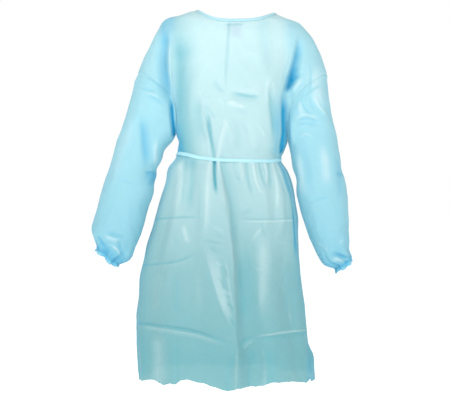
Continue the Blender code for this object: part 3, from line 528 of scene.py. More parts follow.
def ease_join(rows, share):
    """Evens out the rows where yoke and skirt meet, but not at the seam."""
    inner = (1 - share**6)[:, None]
    first, last = YOKE_ROWS - JOIN_ROWS, YOKE_ROWS + JOIN_ROWS - 1
    for _ in range(JOIN_PASSES):
        near = rows[first - 1 : last + 1]
        rows[first:last] += 0.5 * inner * ((near[:-2] + near[2:]) / 2 - near[1:-1])
    return rows


def panel_row(side, facing, share, height, towards_hem=0.0):
    """One row of a panel below the underarms; near the hem the rows bend to its wavy edge."""
    level = np.full(len(share), height)
    seam = read(SEAMS, side_name(side), level)
    if facing == FRONT:
        angle = side * seam * share
    else:
        past = np.degrees(read(SEAMS, "overlap", level) / body_half(level))
        angle = side * (seam + (180 + past - seam) * (1 - share))
    if towards_hem:
        wrapped = (angle + 180) % 360 - 180
        level = level + towards_hem * (read(HEM, "height", wrapped, knot="angle") - level)
    points = body_point(angle, level)
    if facing == BACK:
        points[:, 1] += overlap_rise(points[:, 0], points[:, 2], side)
    return points


panels = {(side, facing): half_panel(side, facing)
          for side in (RIGHT, LEFT) for facing in (FRONT, BACK)}
print("half panel:", panels[RIGHT, FRONT].shape[:2], "rows and columns")


# %% [markdown]
# ## Sleeves as stacks of rings
#
# A sleeve is one tube. It could be a cylinder that follows a curve, but its two outlines wander
# apart and together. So each ring is a soft oval between the arm's outer and inner outline, and
# the first ring is bent onto the armhole seam, so that sleeve and body share one line.

# %% The sleeves' form
Station = namedtuple("Station", "share outer_x outer_z inner_x inner_z middle_y depth")
RIGHT_SLEEVE = table(Station, (
    (0, -0.298, -0.197, -0.18, -0.382, 0, 0.06),
    (0.1, -0.32, -0.27, -0.196, -0.408, 0, 0.069),
    (0.22, -0.342, -0.345, -0.214, -0.436, 0, 0.072),
    (0.34, -0.363, -0.413, -0.232, -0.47, -0.003, 0.073),
    (0.47, -0.386, -0.487, -0.247, -0.525, -0.008, 0.073),
    (0.6, -0.409, -0.558, -0.26, -0.59, -0.014, 0.073),
    (0.72, -0.427, -0.625, -0.272, -0.65, -0.02, 0.074),
    (0.83, -0.435, -0.678, -0.291, -0.705, -0.026, 0.071),
    (0.91, -0.429, -0.704, -0.316, -0.748, -0.031, 0.06),
    (1, -0.417, -0.724, -0.355, -0.776, -0.034, 0.04),
))
LEFT_SLEEVE = table(Station, (
    (0, 0.289, -0.197, 0.17, -0.404, 0, 0.06),
    (0.1, 0.297, -0.268, 0.175, -0.429, 0, 0.069),
    (0.22, 0.306, -0.338, 0.179, -0.456, 0, 0.072),
    (0.34, 0.318, -0.405, 0.183, -0.488, -0.003, 0.073),
    (0.47, 0.334, -0.48, 0.189, -0.532, -0.008, 0.073),
    (0.6, 0.348, -0.552, 0.197, -0.585, -0.014, 0.073),
    (0.72, 0.354, -0.622, 0.212, -0.645, -0.02, 0.072),
    (0.83, 0.354, -0.683, 0.235, -0.706, -0.026, 0.067),
    (0.91, 0.356, -0.722, 0.26, -0.754, -0.031, 0.056),
    (1, 0.36, -0.757, 0.309, -0.789, -0.034, 0.036),
))
SLEEVE_SQUARENESS = 2.1
ARMHOLE_FADE = 0.34
GATHER_START = 0.80
CUFF_LENGTH = 0.019
CrossFold = namedtuple("CrossFold", "share angle rise along around")
RIGHT_SLEEVE_FOLDS = table(CrossFold, (
    (0.07, 96, 0.008, 0.035, 50),
    (0.3, 150, 0.008, 0.06, 45),
    (0.43, 165, -0.011, 0.035, 42),
    (0.53, 150, 0.007, 0.04, 50),
    (0.45, 260, -0.007, 0.04, 55),
    (0.66, 40, 0.005, 0.06, 50),
    (0.84, 70, 0.007, 0.04, 60),
    (0.92, 80, -0.006, 0.03, 50),
))
LEFT_SLEEVE_FOLDS = table(CrossFold, (
    (0.06, 90, 0.008, 0.035, 50),
    (0.16, 100, -0.006, 0.03, 45),
    (0.44, 200, -0.008, 0.04, 50),
    (0.36, 20, 0.006, 0.05, 40),
    (0.48, 12, -0.006, 0.03, 40),
    (0.7, 60, 0.005, 0.06, 45),
    (0.88, 95, -0.006, 0.03, 55),
))
print("sleeve tables:", len(RIGHT_SLEEVE), "stations,", len(RIGHT_SLEEVE_FOLDS), "and",
      len(LEFT_SLEEVE_FOLDS), "folds")

# %% Sleeve rings
SLEEVE_ROWS, SLEEVE_COLUMNS = 210, 188
ARM_FOLDS_START = 0.05


def sleeve_rings(side, rows=SLEEVE_ROWS, columns=SLEEVE_COLUMNS):
    """Rings from the armhole to the elastic. A ring runs from the outer edge round the front."""
    stations = RIGHT_SLEEVE if side == RIGHT else LEFT_SLEEVE
    folds = RIGHT_SLEEVE_FOLDS if side == RIGHT else LEFT_SLEEVE_FOLDS
    phase = np.linspace(0, 2 * math.pi, columns, endpoint=False)
    length = stations[0].outer_z - stations[-1].outer_z

    def ring(share):
        value = {c: float(read(stations, c, share, knot="share")) for c in Station._fields[1:]}
        outer = np.array([value["outer_x"], 0.0, value["outer_z"]])
        inner = np.array([value["inner_x"], 0.0, value["inner_z"]])
        power = 2 / SLEEVE_SQUARENESS
        cosine = np.sign(np.cos(phase)) * np.abs(np.cos(phase)) ** power
        sine = np.sign(np.sin(phase)) * np.abs(np.sin(phase)) ** power
        middle, arm = (outer + inner) / 2, (outer - inner) / 2
        points = middle + cosine[:, None] * arm
        points[:, 1] += value["middle_y"] - value["depth"] * sine
        out = unit(cosine[:, None] * unit(arm) + sine[:, None] * np.array([0.0, -1.0, 0.0]))
        rise = np.zeros(columns)
        for fold in folds:
            gap = (np.degrees(phase) - fold.angle + 180) % 360 - 180
            reach = (share - fold.share) * length / fold.along
            rise += fold.rise * np.exp(-(reach**2)) * np.exp(-((gap / fold.around) ** 2))
        return points + out * (rise * smooth(share / ARM_FOLDS_START))[:, None]

    shares = np.linspace(0, 1, rows + 1)
    rings = np.array([ring(share) for share in shares])
    half = (1 - np.cos(phase[: columns // 2 + 1])) / 2
    front, back = (armhole_loop(side, facing, half) for facing in (FRONT, BACK))
    loop = np.concatenate([front[:-1], back[:0:-1]])
    fade = 1 - smooth(shares / ARMHOLE_FADE)
    return rings + fade[:, None, None] * (loop - rings[0])[None]


def grid_normals(points, wraps=False):
    """The direction straight out of the cloth at every point of a grid."""
    if wraps:
        across = np.roll(points, -1, axis=1) - np.roll(points, 1, axis=1)
    else:
        across = np.gradient(points, axis=1)
    return unit(np.cross(np.gradient(points, axis=0), across))


sleeves = {side: sleeve_rings(side) for side in (RIGHT, LEFT)}
print("sleeve:", sleeves[RIGHT].shape[:2], "rings and points in a ring")


# %% [markdown]
# ## Cloth from a grid
#
# Real nonwoven cloth is a third of a millimetre thick, less than a tenth of what one dot of the
# picture covers. The large panels are therefore single sheets, with all their faces spent on
# folds, while the narrow strips are thin closed shells with a rim, because their edges are seen.
# A Solidify modifier could add the thickness; building the faces keeps the cloth coordinates.

# %% Shells
SHARP_EDGE = math.radians(58)


def flat_places(points):
    """Each point's place on the flat cloth in metres: across the row and down the column."""
    across = np.linalg.norm(np.diff(points, axis=1), axis=-1)
    across = np.concatenate([np.zeros((len(points), 1)), np.cumsum(across, axis=1)], axis=1)
    down = np.linalg.norm(np.diff(points, axis=0), axis=-1).mean(axis=1)
    down = np.concatenate([[0.0], np.cumsum(down)])
    return np.stack([across, np.repeat(down[:, None], points.shape[1], axis=1)], axis=-1)


def cloth_sizes(points):
    """A grid's largest width, largest length and area, measured along the cloth."""
    down = np.linalg.norm(np.diff(points, axis=0), axis=-1)
    across = np.linalg.norm(np.diff(points, axis=1), axis=-1)
    area = (across[:-1] * (down[:, 1:] + down[:, :-1]) / 2).sum()
    return f"{across.sum(axis=1).max():.3f} m across, {down.sum(axis=0).max():.3f} m long, {area:.4f} m2"


def build_shell(name, points, normals, thickness=0.0, wraps=False, marks=None):
    """A sheet through a grid of points, or a thin closed shell about it if it has a thickness.
    It carries cloth coordinates and named marks."""
    rows, columns = points.shape[:2]
    skins = [points + normals * thickness / 2, points - normals * thickness / 2][: 2 if thickness else 1]
    count = rows * columns
    index = np.arange(count).reshape(rows, columns)
    if wraps:
        index = np.concatenate([index, index[:, :1]], axis=1)
    a, b, d, e = index[:-1, :-1], index[:-1, 1:], index[1:, :-1], index[1:, 1:]
    outer = np.stack([a, d, e, b], axis=-1).reshape(-1, 4)
    inner = outer[:, ::-1] + count
    rims = [index[0], index[-1][::-1]]
    if not wraps:
        rims += [index[::-1, 0], index[:, -1]]
    sides = [np.stack([r[:-1], r[1:], r[1:] + count, r[:-1] + count], axis=-1) for r in rims]
    faces = np.concatenate([outer, inner, *sides]) if thickness else outer
    vertices = np.concatenate([skin.reshape(-1, 3) for skin in skins])
    first = vertices[faces[0]]
    facing_out = np.dot(np.cross(first[1] - first[0], first[2] - first[1]), normals[0, 0]) > 0
    if not facing_out:
        faces = faces[:, ::-1]
    mesh = bpy.data.meshes.new(name)
    mesh.from_pydata(vertices.tolist(), [], faces.tolist())
    print(f"{name}:", cloth_sizes(points))
    places = np.tile(flat_places(points).reshape(-1, 2), (len(skins), 1))
    loops = np.empty(len(mesh.loops), np.int32)
    mesh.loops.foreach_get("vertex_index", loops)
    layer = mesh.uv_layers.new(name="cloth")
    layer.data.foreach_set("uv", places[loops].astype(np.float32).ravel())
    for mark, values in (marks or {}).items():
        attribute = mesh.attributes.new(mark, "FLOAT", "POINT")
        attribute.data.foreach_set("value", np.tile(values.ravel(), len(skins)).astype(np.float32))
    mesh.shade_smooth()
    mesh.set_sharp_from_angle(angle=SHARP_EDGE)
    piece = bpy.data.objects.new(name, mesh)
    bpy.context.scene.collection.objects.link(piece)
    return piece


def dress(piece, material, node):
    """Puts a finish on a piece and lets it stand for its node."""
    piece.data.materials.append(material)
    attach(piece, "root")
    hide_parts(node)


print("edges sharper than", round(math.degrees(SHARP_EDGE)), "degrees stay crisp")


# %% [markdown]
# ## Creases placed one by one
#
# The long folds above give the gown its form. On top of them lie the smaller ones: the sharp lines
# of the packaging, the pleats that the belt gathers and the soft dents at the armholes. Each is a
# line on the gown as seen from the front, with a height, two flanks and painted shade or painted
# highlight in its colour. A sculpting brush could make them too, but a table can be read, changed
# and repeated. Places are in picture units of 3.1 mm, counted right and down from the corner of
# the front view.

# %% The front view's grid
PICTURE_UNIT = 0.0031
PICTURE_CENTRE = (234.0, 11.0)


def picture_places(points):
    """Where points of the gown are seen from the front, in picture units."""
    reach = -EYE.y / (points[..., 1] - EYE.y)
    x = EYE.x + (points[..., 0] - EYE.x) * reach
    z = EYE.z + (points[..., 2] - EYE.z) * reach
    return PICTURE_CENTRE[0] + x / PICTURE_UNIT, PICTURE_CENTRE[1] - z / PICTURE_UNIT


print("the front view covers", round(PICTURE_WIDTH / PICTURE_UNIT), "units across")

# %% What a crease says
# Lines run down or to the left. The first flank is on the left or above, the second on the right
# or below. Rise is in millimetres towards the viewer, flanks are in picture units, crisp is 0 for
# a soft fold and 1 for a sharp one, and deep is how much painted shade darkens the cloth's colour
# there, or below zero how much a painted highlight pales it. A crease with no rise is painted shade
# or highlight alone. A line with an open start or end, 1, doesn't taper off there.
Crease = namedtuple("Crease", "line rise first second crisp deep open_start open_end",
                    defaults=(0, 0))
print("a crease has", ", ".join(Crease._fields))

# %% Creases on the chest
# The centre line, the pulls across the chest and the folds that run down to the belt.
CHEST_CREASES = table(Crease, (
    (((229.7, 20), (228, 45), (226.5, 70), (226, 94)), -2.6, 1.6, 1.3, 1, 0.2, 1),
    (((242, 24.6), (234, 24.4), (226, 24.4)), 0, 1.1, 1.3, 0.6, 0.26, 1, 1),
    (((264, 97), (246, 96), (228, 92.5)), -5, 1.2, 4.6, 0.9, 0.24),
    (((263, 96.2), (246, 95), (229, 91.2)), -1.5, 0.8, 1.7, 1, 0.34),
    (((262, 91), (246, 90.5), (232, 88)), 2, 5, 2.2, 0.4, -0.04),
    (((247, 108.5), (238, 105), (226, 101.5)), 3.2, 2.4, 3, 0.8, -0.14),
    (((252, 112), (243, 111), (232, 106)), -2.6, 1.6, 2.4, 0.8, 0.06),
    (((236, 101), (230, 102), (225, 106)), 2, 1.4, 1.6, 0.8, -0.08),
    (((227, 92), (219, 88), (213, 78)), -3.6, 1.8, 2.6, 0.8, 0.2),
    (((202, 82), (204, 118), (210, 143), (215, 160)), 4.6, 3.4, 2, 0.7, -0.1, 0, 1),
    (((207, 108), (211, 138), (215, 161)), -7, 2.4, 1.8, 0.8, 0.55, 0, 1),
    (((228, 112), (221, 138), (217, 160)), 4.6, 2, 3.4, 0.7, -0.12, 0, 1),
    (((202, 104), (210, 111), (217, 122)), -2.2, 1.5, 1.5, 0.9, 0.14),
    (((193, 74), (190, 100), (188, 128)), 3, 4, 5, 0.3, -0.05),
    (((178, 30), (180, 80), (181, 106), (184, 154)), -5, 8, 13, 0.5, 0.58, 0, 1),
    (((172, 20), (176, 34), (184, 66)), -2, 10, 15, 0.3, 0.36, 1),
    (((199, 92), (200, 116), (205, 146)), -2, 6, 6, 0.2, 0.26),
    (((168.5, 41), (169, 62), (171, 86)), 5, 1.8, 3, 0.7, -0.1),
    (((262, 21), (265, 46), (269, 78)), -1.2, 6, 6, 0.4, 0.14, 1),
    (((271, 74), (268, 88), (269, 106)), 3.4, 2.4, 2.2, 0.6, -0.09),
    (((269, 82), (271.5, 110), (276, 144)), -4.4, 2.6, 5.5, 0.4, 0.42),
    (((260, 82), (258, 92), (262, 102)), 1.6, 3, 3, 0.5, -0.03),
    (((258, 124), (262, 130), (266, 138)), 2.2, 1.4, 1.4, 0.9, -0.08),
    (((236, 118), (238, 138), (235, 156)), -2.4, 4, 4, 0.4, 0.1),
    (((247, 116), (252, 136), (254, 156)), 2.2, 3.4, 4, 0.4, -0.04),
    (((262, 140), (258, 148), (252, 157)), -1.8, 2.4, 3, 0.5, 0.08),
    (((200, 92), (206, 96), (214, 97)), -1.8, 1.2, 1.6, 1, 0.08),
    (((216, 98), (221, 101), (224, 108)), 1.8, 1.2, 1.4, 1, -0.07),
    (((240, 121), (245, 127), (247, 136)), -1.6, 1.2, 1.4, 1, 0.07),
    (((219, 118), (226, 123), (230, 131)), 1.6, 1.2, 1.6, 1, -0.06),
))
print("creases on the chest:", len(CHEST_CREASES))

# %% The fold down the skirt's middle
# The deepest fold falls from the belt, and small facets break its lit side.
CENTRE_CREASES = table(Crease, (
    (((214.5, 161), (214.6, 176), (216.5, 197)), -8, 1.7, 1.6, 0.8, 0.95, 1),
    (((209, 164), (207, 190), (205, 240)), 4, 2.2, 3.5, 0.8, -0.12, 1),
    (((219, 162), (223, 186), (228, 214)), 4.6, 2.6, 1.8, 0.7, -0.1, 1),
    (((221, 163), (230, 200), (232, 232), (238, 262)), -4.6, 1.5, 6, 0.6, 0.26, 1),
    (((224, 244.5), (213, 242), (201, 239)), -2.6, 1.3, 1.4, 0.9, 0.14),
    (((204, 241), (213, 278), (223, 309), (234, 332)), 3.2, 1.3, 4.2, 0.9, -0.12),
    (((214, 246), (221, 284), (228, 308), (234, 328)), 1.2, 5.5, 2.4, 0.6, -0.13),
    (((225, 252), (229, 286), (235, 318)), 2.6, 1.5, 1.7, 0.9, -0.1),
    (((222, 262), (224, 270), (229, 279)), -2, 1.3, 1.3, 0.9, 0.14),
    (((208, 247), (213, 249), (219, 254)), -2, 1.2, 1.6, 1, 0.12),
    (((211, 225), (217, 229), (225, 231)), 1.8, 1.2, 1.6, 1, -0.09),
    (((213, 233), (219, 236), (226, 241)), -1.8, 1.2, 1.4, 1, 0.1),
    (((214, 262), (219, 264), (226, 269)), 1.8, 1.2, 1.4, 1, -0.09),
    (((218, 276), (222, 283), (224, 292)), -1.8, 1.2, 1.4, 1, 0.1),
    (((222, 288), (227, 293), (233, 296)), 1.8, 1.2, 1.4, 1, -0.09),
    (((225, 303), (229, 305), (235, 311)), -1.8, 1.2, 1.4, 1, 0.12),
    (((229, 318), (233, 322), (236, 328)), -2, 1.2, 1.3, 0.9, 0.16),
    (((228, 214), (233, 262), (236.3, 314), (236.3, 352)), 4, 2.4, 1.3, 0.9, -0.05),
    (((238, 246), (241, 290), (244, 332)), -1.5, 2.5, 7, 0.7, 0.34),
    (((238, 342), (236.6, 362), (235.6, 392)), 4.6, 1.4, 1.3, 0.9, -0.09, 0, 1),
    (((233, 352), (229, 372), (227, 392)), -3.2, 3, 2.6, 0.5, 0.16, 0, 1),
))
print("the fold down the skirt's middle:", len(CENTRE_CREASES))

# %% Packaging lines
# The gown lay folded flat, so sharp lines cross it. Each is a groove beside a ridge.
PACKAGING_CREASES = table(Crease, (
    (((206, 217.4), (180, 217.2), (150, 219.8)), -2.2, 1, 1.2, 1, 0.34, 0, 1),
    (((206, 219.4), (180, 219.2), (152, 221.8)), 1.2, 1.2, 1.2, 1, -0.05, 0, 1),
    (((296, 220), (262, 221.4), (231, 221.2)), 2.2, 1, 1.2, 1, -0.12, 1),
    (((296, 218), (262, 219.2), (231, 219)), -1.6, 1, 1, 1, 0.16, 1),
    (((200, 250), (180, 260.5), (142, 265.5)), -2.4, 1.1, 1.3, 1, 0.32, 0, 1),
    (((200, 252), (180, 262.5), (142, 267.5)), 1.3, 1.3, 1.6, 1, -0.05, 0, 1),
    (((233, 345), (201, 333), (172, 327.5), (134, 322)), -4.2, 1.2, 1.3, 1, 0.34, 0, 1),
    (((232, 348), (200, 336), (170, 330.5), (134, 325)), 2.6, 1.4, 3, 0.8, -0.1, 0, 1),
    (((312, 329), (280, 333), (252, 337.5)), 3.8, 1.2, 1.2, 1, -0.2, 1),
    (((312, 331.5), (280, 335.6), (252, 340)), -2.2, 1.3, 3.4, 0.8, 0.2, 1),
    (((239, 348), (244, 341), (254, 336)), -3, 1.4, 1.6, 0.9, 0.22),
    (((243, 352), (248, 344), (256, 340)), 2, 1.3, 1.5, 0.9, -0.08),
))
print("packaging lines:", len(PACKAGING_CREASES))

# %% Pleats below the belt
# The belt gathers the cloth, more on the left than on the right.
PLEAT_CREASES = table(Crease, (
    (((180, 164), (178, 186), (173, 216)), 3.8, 2.6, 4, 0.4, -0.12, 1),
    (((184, 164), (184, 186), (182, 210)), -2.6, 1.8, 3, 0.6, 0.16, 1),
    (((193, 163), (191, 190), (188, 216)), -3, 4, 4.5, 0.3, 0.3, 1),
    (((200, 162), (201, 196), (199, 240)), 2.2, 4, 3, 0.4, 0.08, 1),
    (((234, 163), (236, 176), (244, 186)), -2, 1.8, 2.2, 0.7, 0.12, 1),
    (((240, 163), (242, 174), (238, 186)), 2.6, 1.8, 2, 0.7, -0.09, 1),
    (((246, 163), (248, 180), (253, 198)), -3.4, 1.8, 2, 0.7, 0.26, 1),
    (((253, 163), (257, 184), (265, 197)), 4.2, 1.9, 1.5, 0.8, -0.16, 1),
    (((259, 163), (262, 176), (267, 190)), -3.4, 1.4, 1.5, 0.8, 0.28, 1),
    (((265, 163), (267, 172), (267, 186)), 3.4, 1.5, 1.5, 0.8, -0.12, 1),
    (((269, 163), (270, 176), (271, 192)), -2.8, 1.4, 1.5, 0.8, 0.3, 1),
    (((274, 163), (277, 190), (277, 216)), 3.6, 1.6, 2.4, 0.7, -0.14, 1),
    (((282, 163), (288, 186), (293.5, 208), (295.5, 240)), -4, 1.8, 3.2, 0.7, 0.5, 1),
    (((278, 163), (284, 182), (290, 200)), 2, 1.4, 1.4, 0.8, -0.12, 1),
    (((292, 200), (293.4, 228), (294.5, 262)), 0, 0.9, 4.5, 0.9, 0.7),
))
print("pleats below the belt:", len(PLEAT_CREASES))

# %% Dents in the skirt
# Broad, soft and shallow: they only turn the light a little.
DENT_CREASES = table(Crease, (
    (((183, 222), (185, 234), (190, 246)), 2.2, 2.6, 2.6, 0.6, -0.14),
    (((172, 222), (174, 238), (182, 252)), -1.6, 2, 3, 0.6, 0.08),
    (((255, 206), (246, 212), (234, 214)), -2.2, 2.2, 2.4, 0.5, 0.12),
    (((268, 223), (257, 233), (249, 244)), 1.8, 1.4, 1.4, 0.9, -0.09),
    (((262, 222), (263, 230), (266, 238)), -1.4, 1.3, 1.4, 0.9, 0.1),
    (((242, 232), (250, 280), (253, 330)), -2.6, 5, 6, 0.3, 0.16),
    (((262, 226), (264, 270), (259, 322)), 2.8, 6.5, 7, 0.6, -0.12),
    (((252, 268), (258, 269), (264, 270)), 1, 1.2, 1.2, 0.9, -0.04),
    (((291, 294), (290, 312), (293, 326)), 2, 1.4, 1.8, 0.8, -0.12),
    (((290, 250), (292, 300), (300, 330)), 0, 9, 9, 0.2, 0.14),
    (((160, 260), (156, 300), (156, 322)), 2.2, 5, 5, 0.3, -0.04),
    (((178, 262), (176, 295), (178, 326)), -2.4, 4, 5, 0.3, 0.1),
    (((196, 256), (199, 290), (196, 326)), 2, 4, 5, 0.3, -0.03),
    (((262, 344), (266, 365), (263, 388)), 2.8, 3.4, 3.4, 0.5, -0.07, 0, 1),
    (((252, 344), (251, 366), (249, 390)), -3, 2.8, 2.8, 0.5, 0.18, 0, 1),
    (((266, 345), (268, 366), (270, 388)), 0, 2, 8, 0.4, 0.2, 0, 1),
    (((154, 328), (158, 355), (157, 382)), 2.8, 6, 8, 0.6, -0.12, 0, 1),
    (((176, 335), (177, 358), (176, 388)), -2.4, 3, 3, 0.4, 0.1, 0, 1),
    (((143, 330), (144, 352), (143, 380)), -1.8, 2, 2.4, 0.6, 0.14, 0, 1),
    (((307, 340), (309, 356), (308, 382)), -3, 1.6, 3, 0.7, 0.34, 0, 1),
))
print("dents in the skirt:", len(DENT_CREASES))

# %% Folds at the armholes
# The deepest of all: arm and body press the cloth together between them.
ARMHOLE_CREASES = table(Crease, (
    (((167, 24), (166, 54), (167, 78), (169.5, 97), (171.5, 112)), -16, 7.5, 2.4, 0.7, 0.5),
    (((162, 18), (164, 36), (167, 50)), -2.5, 5, 5, 0.2, 0.24, 1),
    (((170.5, 96), (171.8, 114), (174, 134)), -16, 2.4, 2, 0.6, 1, 0, 1),
    (((176, 118), (177, 136), (180, 152)), 0, 4, 6, 0.2, 0.24, 0, 1),
    (((300, 32), (296.5, 54), (291, 76), (285.5, 92), (283, 102)), -18, 2.6, 4.8, 0.7, 0.58),
    (((299, 64), (295, 72), (287, 84)), -3, 4.5, 3, 0.5, 0.3),
    (((280, 92), (279.5, 118), (279.5, 152)), 0, 8, 2.4, 0.3, 0.26, 0, 1),
    (((303, 72), (294, 80), (285.5, 93)), -9, 3, 2, 0.6, 0.5),
    (((283.4, 90), (283.6, 118), (284.5, 134), (284, 152)), -20, 1.8, 4.2, 0.8, 1, 0, 1),
))
print("folds at the armholes:", len(ARMHOLE_CREASES))

# %% Creases of the right sleeve
# Pulls at the upper arm, the bend at the elbow and the gathers above the cuff.
RIGHT_ARM_CREASES = table(Crease, (
    (((139, 70), (150, 78), (160, 86)), -1.8, 1.2, 1.2, 1, 0.14, 1, 1),
    (((157, 91), (148, 89.5), (138, 87)), -2.8, 1.2, 1.6, 1, 0.16),
    (((166, 105), (156, 99), (145, 95)), -2.8, 1.4, 2, 1, 0.16),
    (((162, 99), (152, 94), (143, 92)), 2.4, 1.2, 1.6, 1, -0.08),
    (((134, 96), (129.5, 129), (118, 160), (108, 196)), 4, 6, 5, 0.8, -0.05),
    (((141, 112), (144, 144), (148, 173)), -5, 3.5, 6, 0.6, 0.44),
    (((157, 136), (156, 156), (153, 171)), 5, 4.5, 2.5, 0.8, -0.12),
    (((157, 170.5), (151, 172.5), (145, 172)), -6, 1.3, 7, 1, 0.5, 1),
    (((154, 173), (152, 180), (150, 188)), -4, 3, 2, 0.5, 0.3),
    (((136, 184.5), (126, 181.5), (116, 177.5)), -1.6, 1.2, 1.4, 1, 0.1),
    (((124, 264), (112, 256), (99, 247)), 0, 5.5, 6, 0.7, 0.4, 1, 1),
    (((112, 246), (117, 250), (121, 258)), 3, 1.3, 1.3, 1, -0.2),
    (((128, 238), (116, 236), (104, 231)), -5, 2.2, 2.2, 0.9, 0.14),
    (((122, 241), (112, 238), (103, 235)), 3.5, 1.8, 3.5, 0.9, -0.14),
    (((118, 239), (119.5, 248), (122, 259)), -3.5, 1.4, 1.8, 0.8, 0.22),
    (((97, 234), (102, 242), (106, 248)), -3.5, 1.6, 1.6, 0.8, 0.4),
    (((118, 250), (111, 246), (105, 248)), 4, 1.6, 1.4, 0.8, -0.1),
))
print("creases of the right sleeve:", len(RIGHT_ARM_CREASES))

# %% Creases of the left sleeve
# The same, with sharp arcs where the upper arm is pushed together.
LEFT_ARM_CREASES = table(Crease, (
    (((350, 266), (335, 265), (320, 258)), 0, 4, 6, 0.7, 0.3, 1, 1),
    (((317, 60), (316, 86), (322, 112)), 1, 7, 7, 0.9, -0.12),
    (((298, 146), (299, 172), (303, 202)), 1.5, 3, 6, 0.6, -0.14),
    (((310, 58), (311, 76), (309, 96)), -1.8, 1.4, 1.4, 0.9, 0.12),
    (((304, 76), (296, 86), (288, 94)), 3.5, 1.6, 2, 0.7, -0.14),
    (((324, 84), (312, 90), (300, 100)), -1.6, 1.6, 1.6, 0.8, 0.1),
    (((300, 98), (299, 108), (302, 118)), 2.6, 1.8, 4, 0.7, -0.1),
    (((308, 92), (312, 104), (316, 116)), -2, 1.6, 1.6, 0.8, 0.1),
    (((322, 120), (306, 114.5), (291, 121)), 3.4, 1.4, 2.2, 1, -0.1),
    (((322, 125), (306, 124), (293, 127)), -3, 1.8, 1.6, 0.7, 0.14),
    (((313, 94), (319, 106), (329, 118)), 3.2, 1.2, 1.4, 1, -0.12),
    (((300, 99), (305, 108), (313, 117)), -3.2, 1.2, 1.4, 1, 0.16),
    (((323, 122.5), (306, 119), (295, 123)), -2.8, 1.2, 1.4, 1, 0.16),
    (((316, 138), (306, 134), (296, 138)), 1.8, 1.6, 1.8, 0.6, -0.06),
    (((331, 195.5), (318, 199), (304, 206)), -1.8, 1.2, 1.6, 1, 0.1),
    (((322, 140), (326, 165), (328, 190)), 2.6, 6, 5, 0.2, -0.12),
    (((336, 150), (340, 175), (342, 205)), -2.6, 4, 3, 0.3, 0.16),
    (((300, 140), (306, 170), (314, 200)), -2.2, 4, 5, 0.2, 0.06),
    (((346, 172), (341, 174), (335, 172)), -4, 1.4, 2.4, 0.7, 0.2, 1),
    (((350, 257.5), (343, 256.5), (337, 253.5), (330, 252)), -6, 1.8, 1.5, 0.8, 0.32, 1),
    (((350, 262), (341, 260), (331, 255)), 4.5, 2.2, 2.4, 0.5, -0.16),
    (((330, 252), (322, 246), (315, 240)), 2, 1.4, 1.4, 0.7, -0.08),
    (((345, 240), (341, 241.5), (338, 244)), 2, 1.4, 1.4, 0.7, -0.08),
    (((347, 266), (343, 266), (339, 264)), -3, 1.4, 1.4, 0.7, 0.2),
))
print("creases of the left sleeve:", len(LEFT_ARM_CREASES))

# %% All creases in front
ARM_CREASES = ARMHOLE_CREASES + RIGHT_ARM_CREASES + LEFT_ARM_CREASES
FRONT_CREASES = (CHEST_CREASES + CENTRE_CREASES + PACKAGING_CREASES + PLEAT_CREASES + DENT_CREASES
                 + ARM_CREASES)
print("creases in front:", len(FRONT_CREASES))

# %% [markdown]
# ## From a line to a fold
#
# A fold rises over a line and falls away on both sides. The line is made smooth first. For every
# point of the cloth the nearest place on it is found, and from the distance comes the height: a
# bell for a soft fold, a ridge with straight flanks for a crisp one. A displacement map could hold
# the same heights, but it would have to be painted, and these folds are real geometry.

# %% A smooth line through a crease's points
def dense_line(line, steps=14):
    """A smooth line through a crease's few points."""
    knots = np.array(line, float)
    at = np.arange(len(knots))
    wanted = np.linspace(0, len(knots) - 1, (len(knots) - 1) * steps + 1)
    if len(knots) == 2:
        return np.stack([np.interp(wanted, at, knots[:, k]) for k in (0, 1)], axis=-1)
    padded = np.concatenate([2 * knots[:1] - knots[1:2], knots, 2 * knots[-1:] - knots[-2:-1]])
    i = np.clip(wanted.astype(int), 0, len(knots) - 2)
    t = (wanted - i)[:, None]
    p0, p1, p2, p3 = (padded[i + k] for k in range(4))
    return 0.5 * (2 * p1 + (p2 - p0) * t + (2 * p0 - 5 * p1 + 4 * p2 - p3) * t**2
                  + (3 * p1 - p0 - 3 * p2 + p3) * t**3)


print("points on the first crease's line:", len(dense_line(FRONT_CREASES[0].line)))

# %% Height of a crease
REACH_IN_FLANKS = 3.2
FLANK_SHARE = 0.85
RIDGE_TOP, RIDGE_WIDTH, RIDGE_ROUNDING = 1.06, 1.7, 0.0036
TAPER_SHARE = 0.35


def crease_height(crease, px, py):
    """A crease's share of its full height at places in the front view."""
    line = dense_line(crease.line)
    reach = REACH_IN_FLANKS * max(crease.first, crease.second)
    near = (px > line[:, 0].min() - reach) & (px < line[:, 0].max() + reach)
    near &= (py > line[:, 1].min() - reach) & (py < line[:, 1].max() + reach)
    height = np.zeros(px.shape)
    if not near.any():
        return height
    places = np.stack([px[near], py[near]], axis=-1)
    runs, spans = run_lengths(line), np.diff(line, axis=0)
    best = np.full(len(places), np.inf)
    away, along = np.zeros(len(places)), np.zeros(len(places))
    for start, span, run in zip(line, spans, runs):
        length = np.linalg.norm(span)
        off = places - start
        t = np.clip((off @ span) / length**2, 0, 1)
        distance = np.linalg.norm(off - t[:, None] * span, axis=-1)
        side = np.sign(span[0] * off[:, 1] - span[1] * off[:, 0])
        closer = distance < best
        best = np.where(closer, distance, best)
        away = np.where(closer, -side * distance, away)
        along = np.where(closer, run + t * length, along)
    flank = np.where(away < 0, crease.first, crease.second) * FLANK_SHARE
    share = np.abs(away) / flank
    soft = np.exp(-(share**2))
    crisp = np.clip(RIDGE_TOP - np.sqrt((share / RIDGE_WIDTH) ** 2 + RIDGE_ROUNDING), 0, 1)
    fade = np.ones(len(places))
    taper = TAPER_SHARE * runs[-1]
    if not crease.open_start:
        fade *= smooth(along / taper)
    if not crease.open_end:
        fade *= smooth((runs[-1] - along) / taper)
    height[near] = (soft * (1 - crease.crisp) + crisp * crease.crisp) * fade
    return height


FIELD_FADE = 0.035


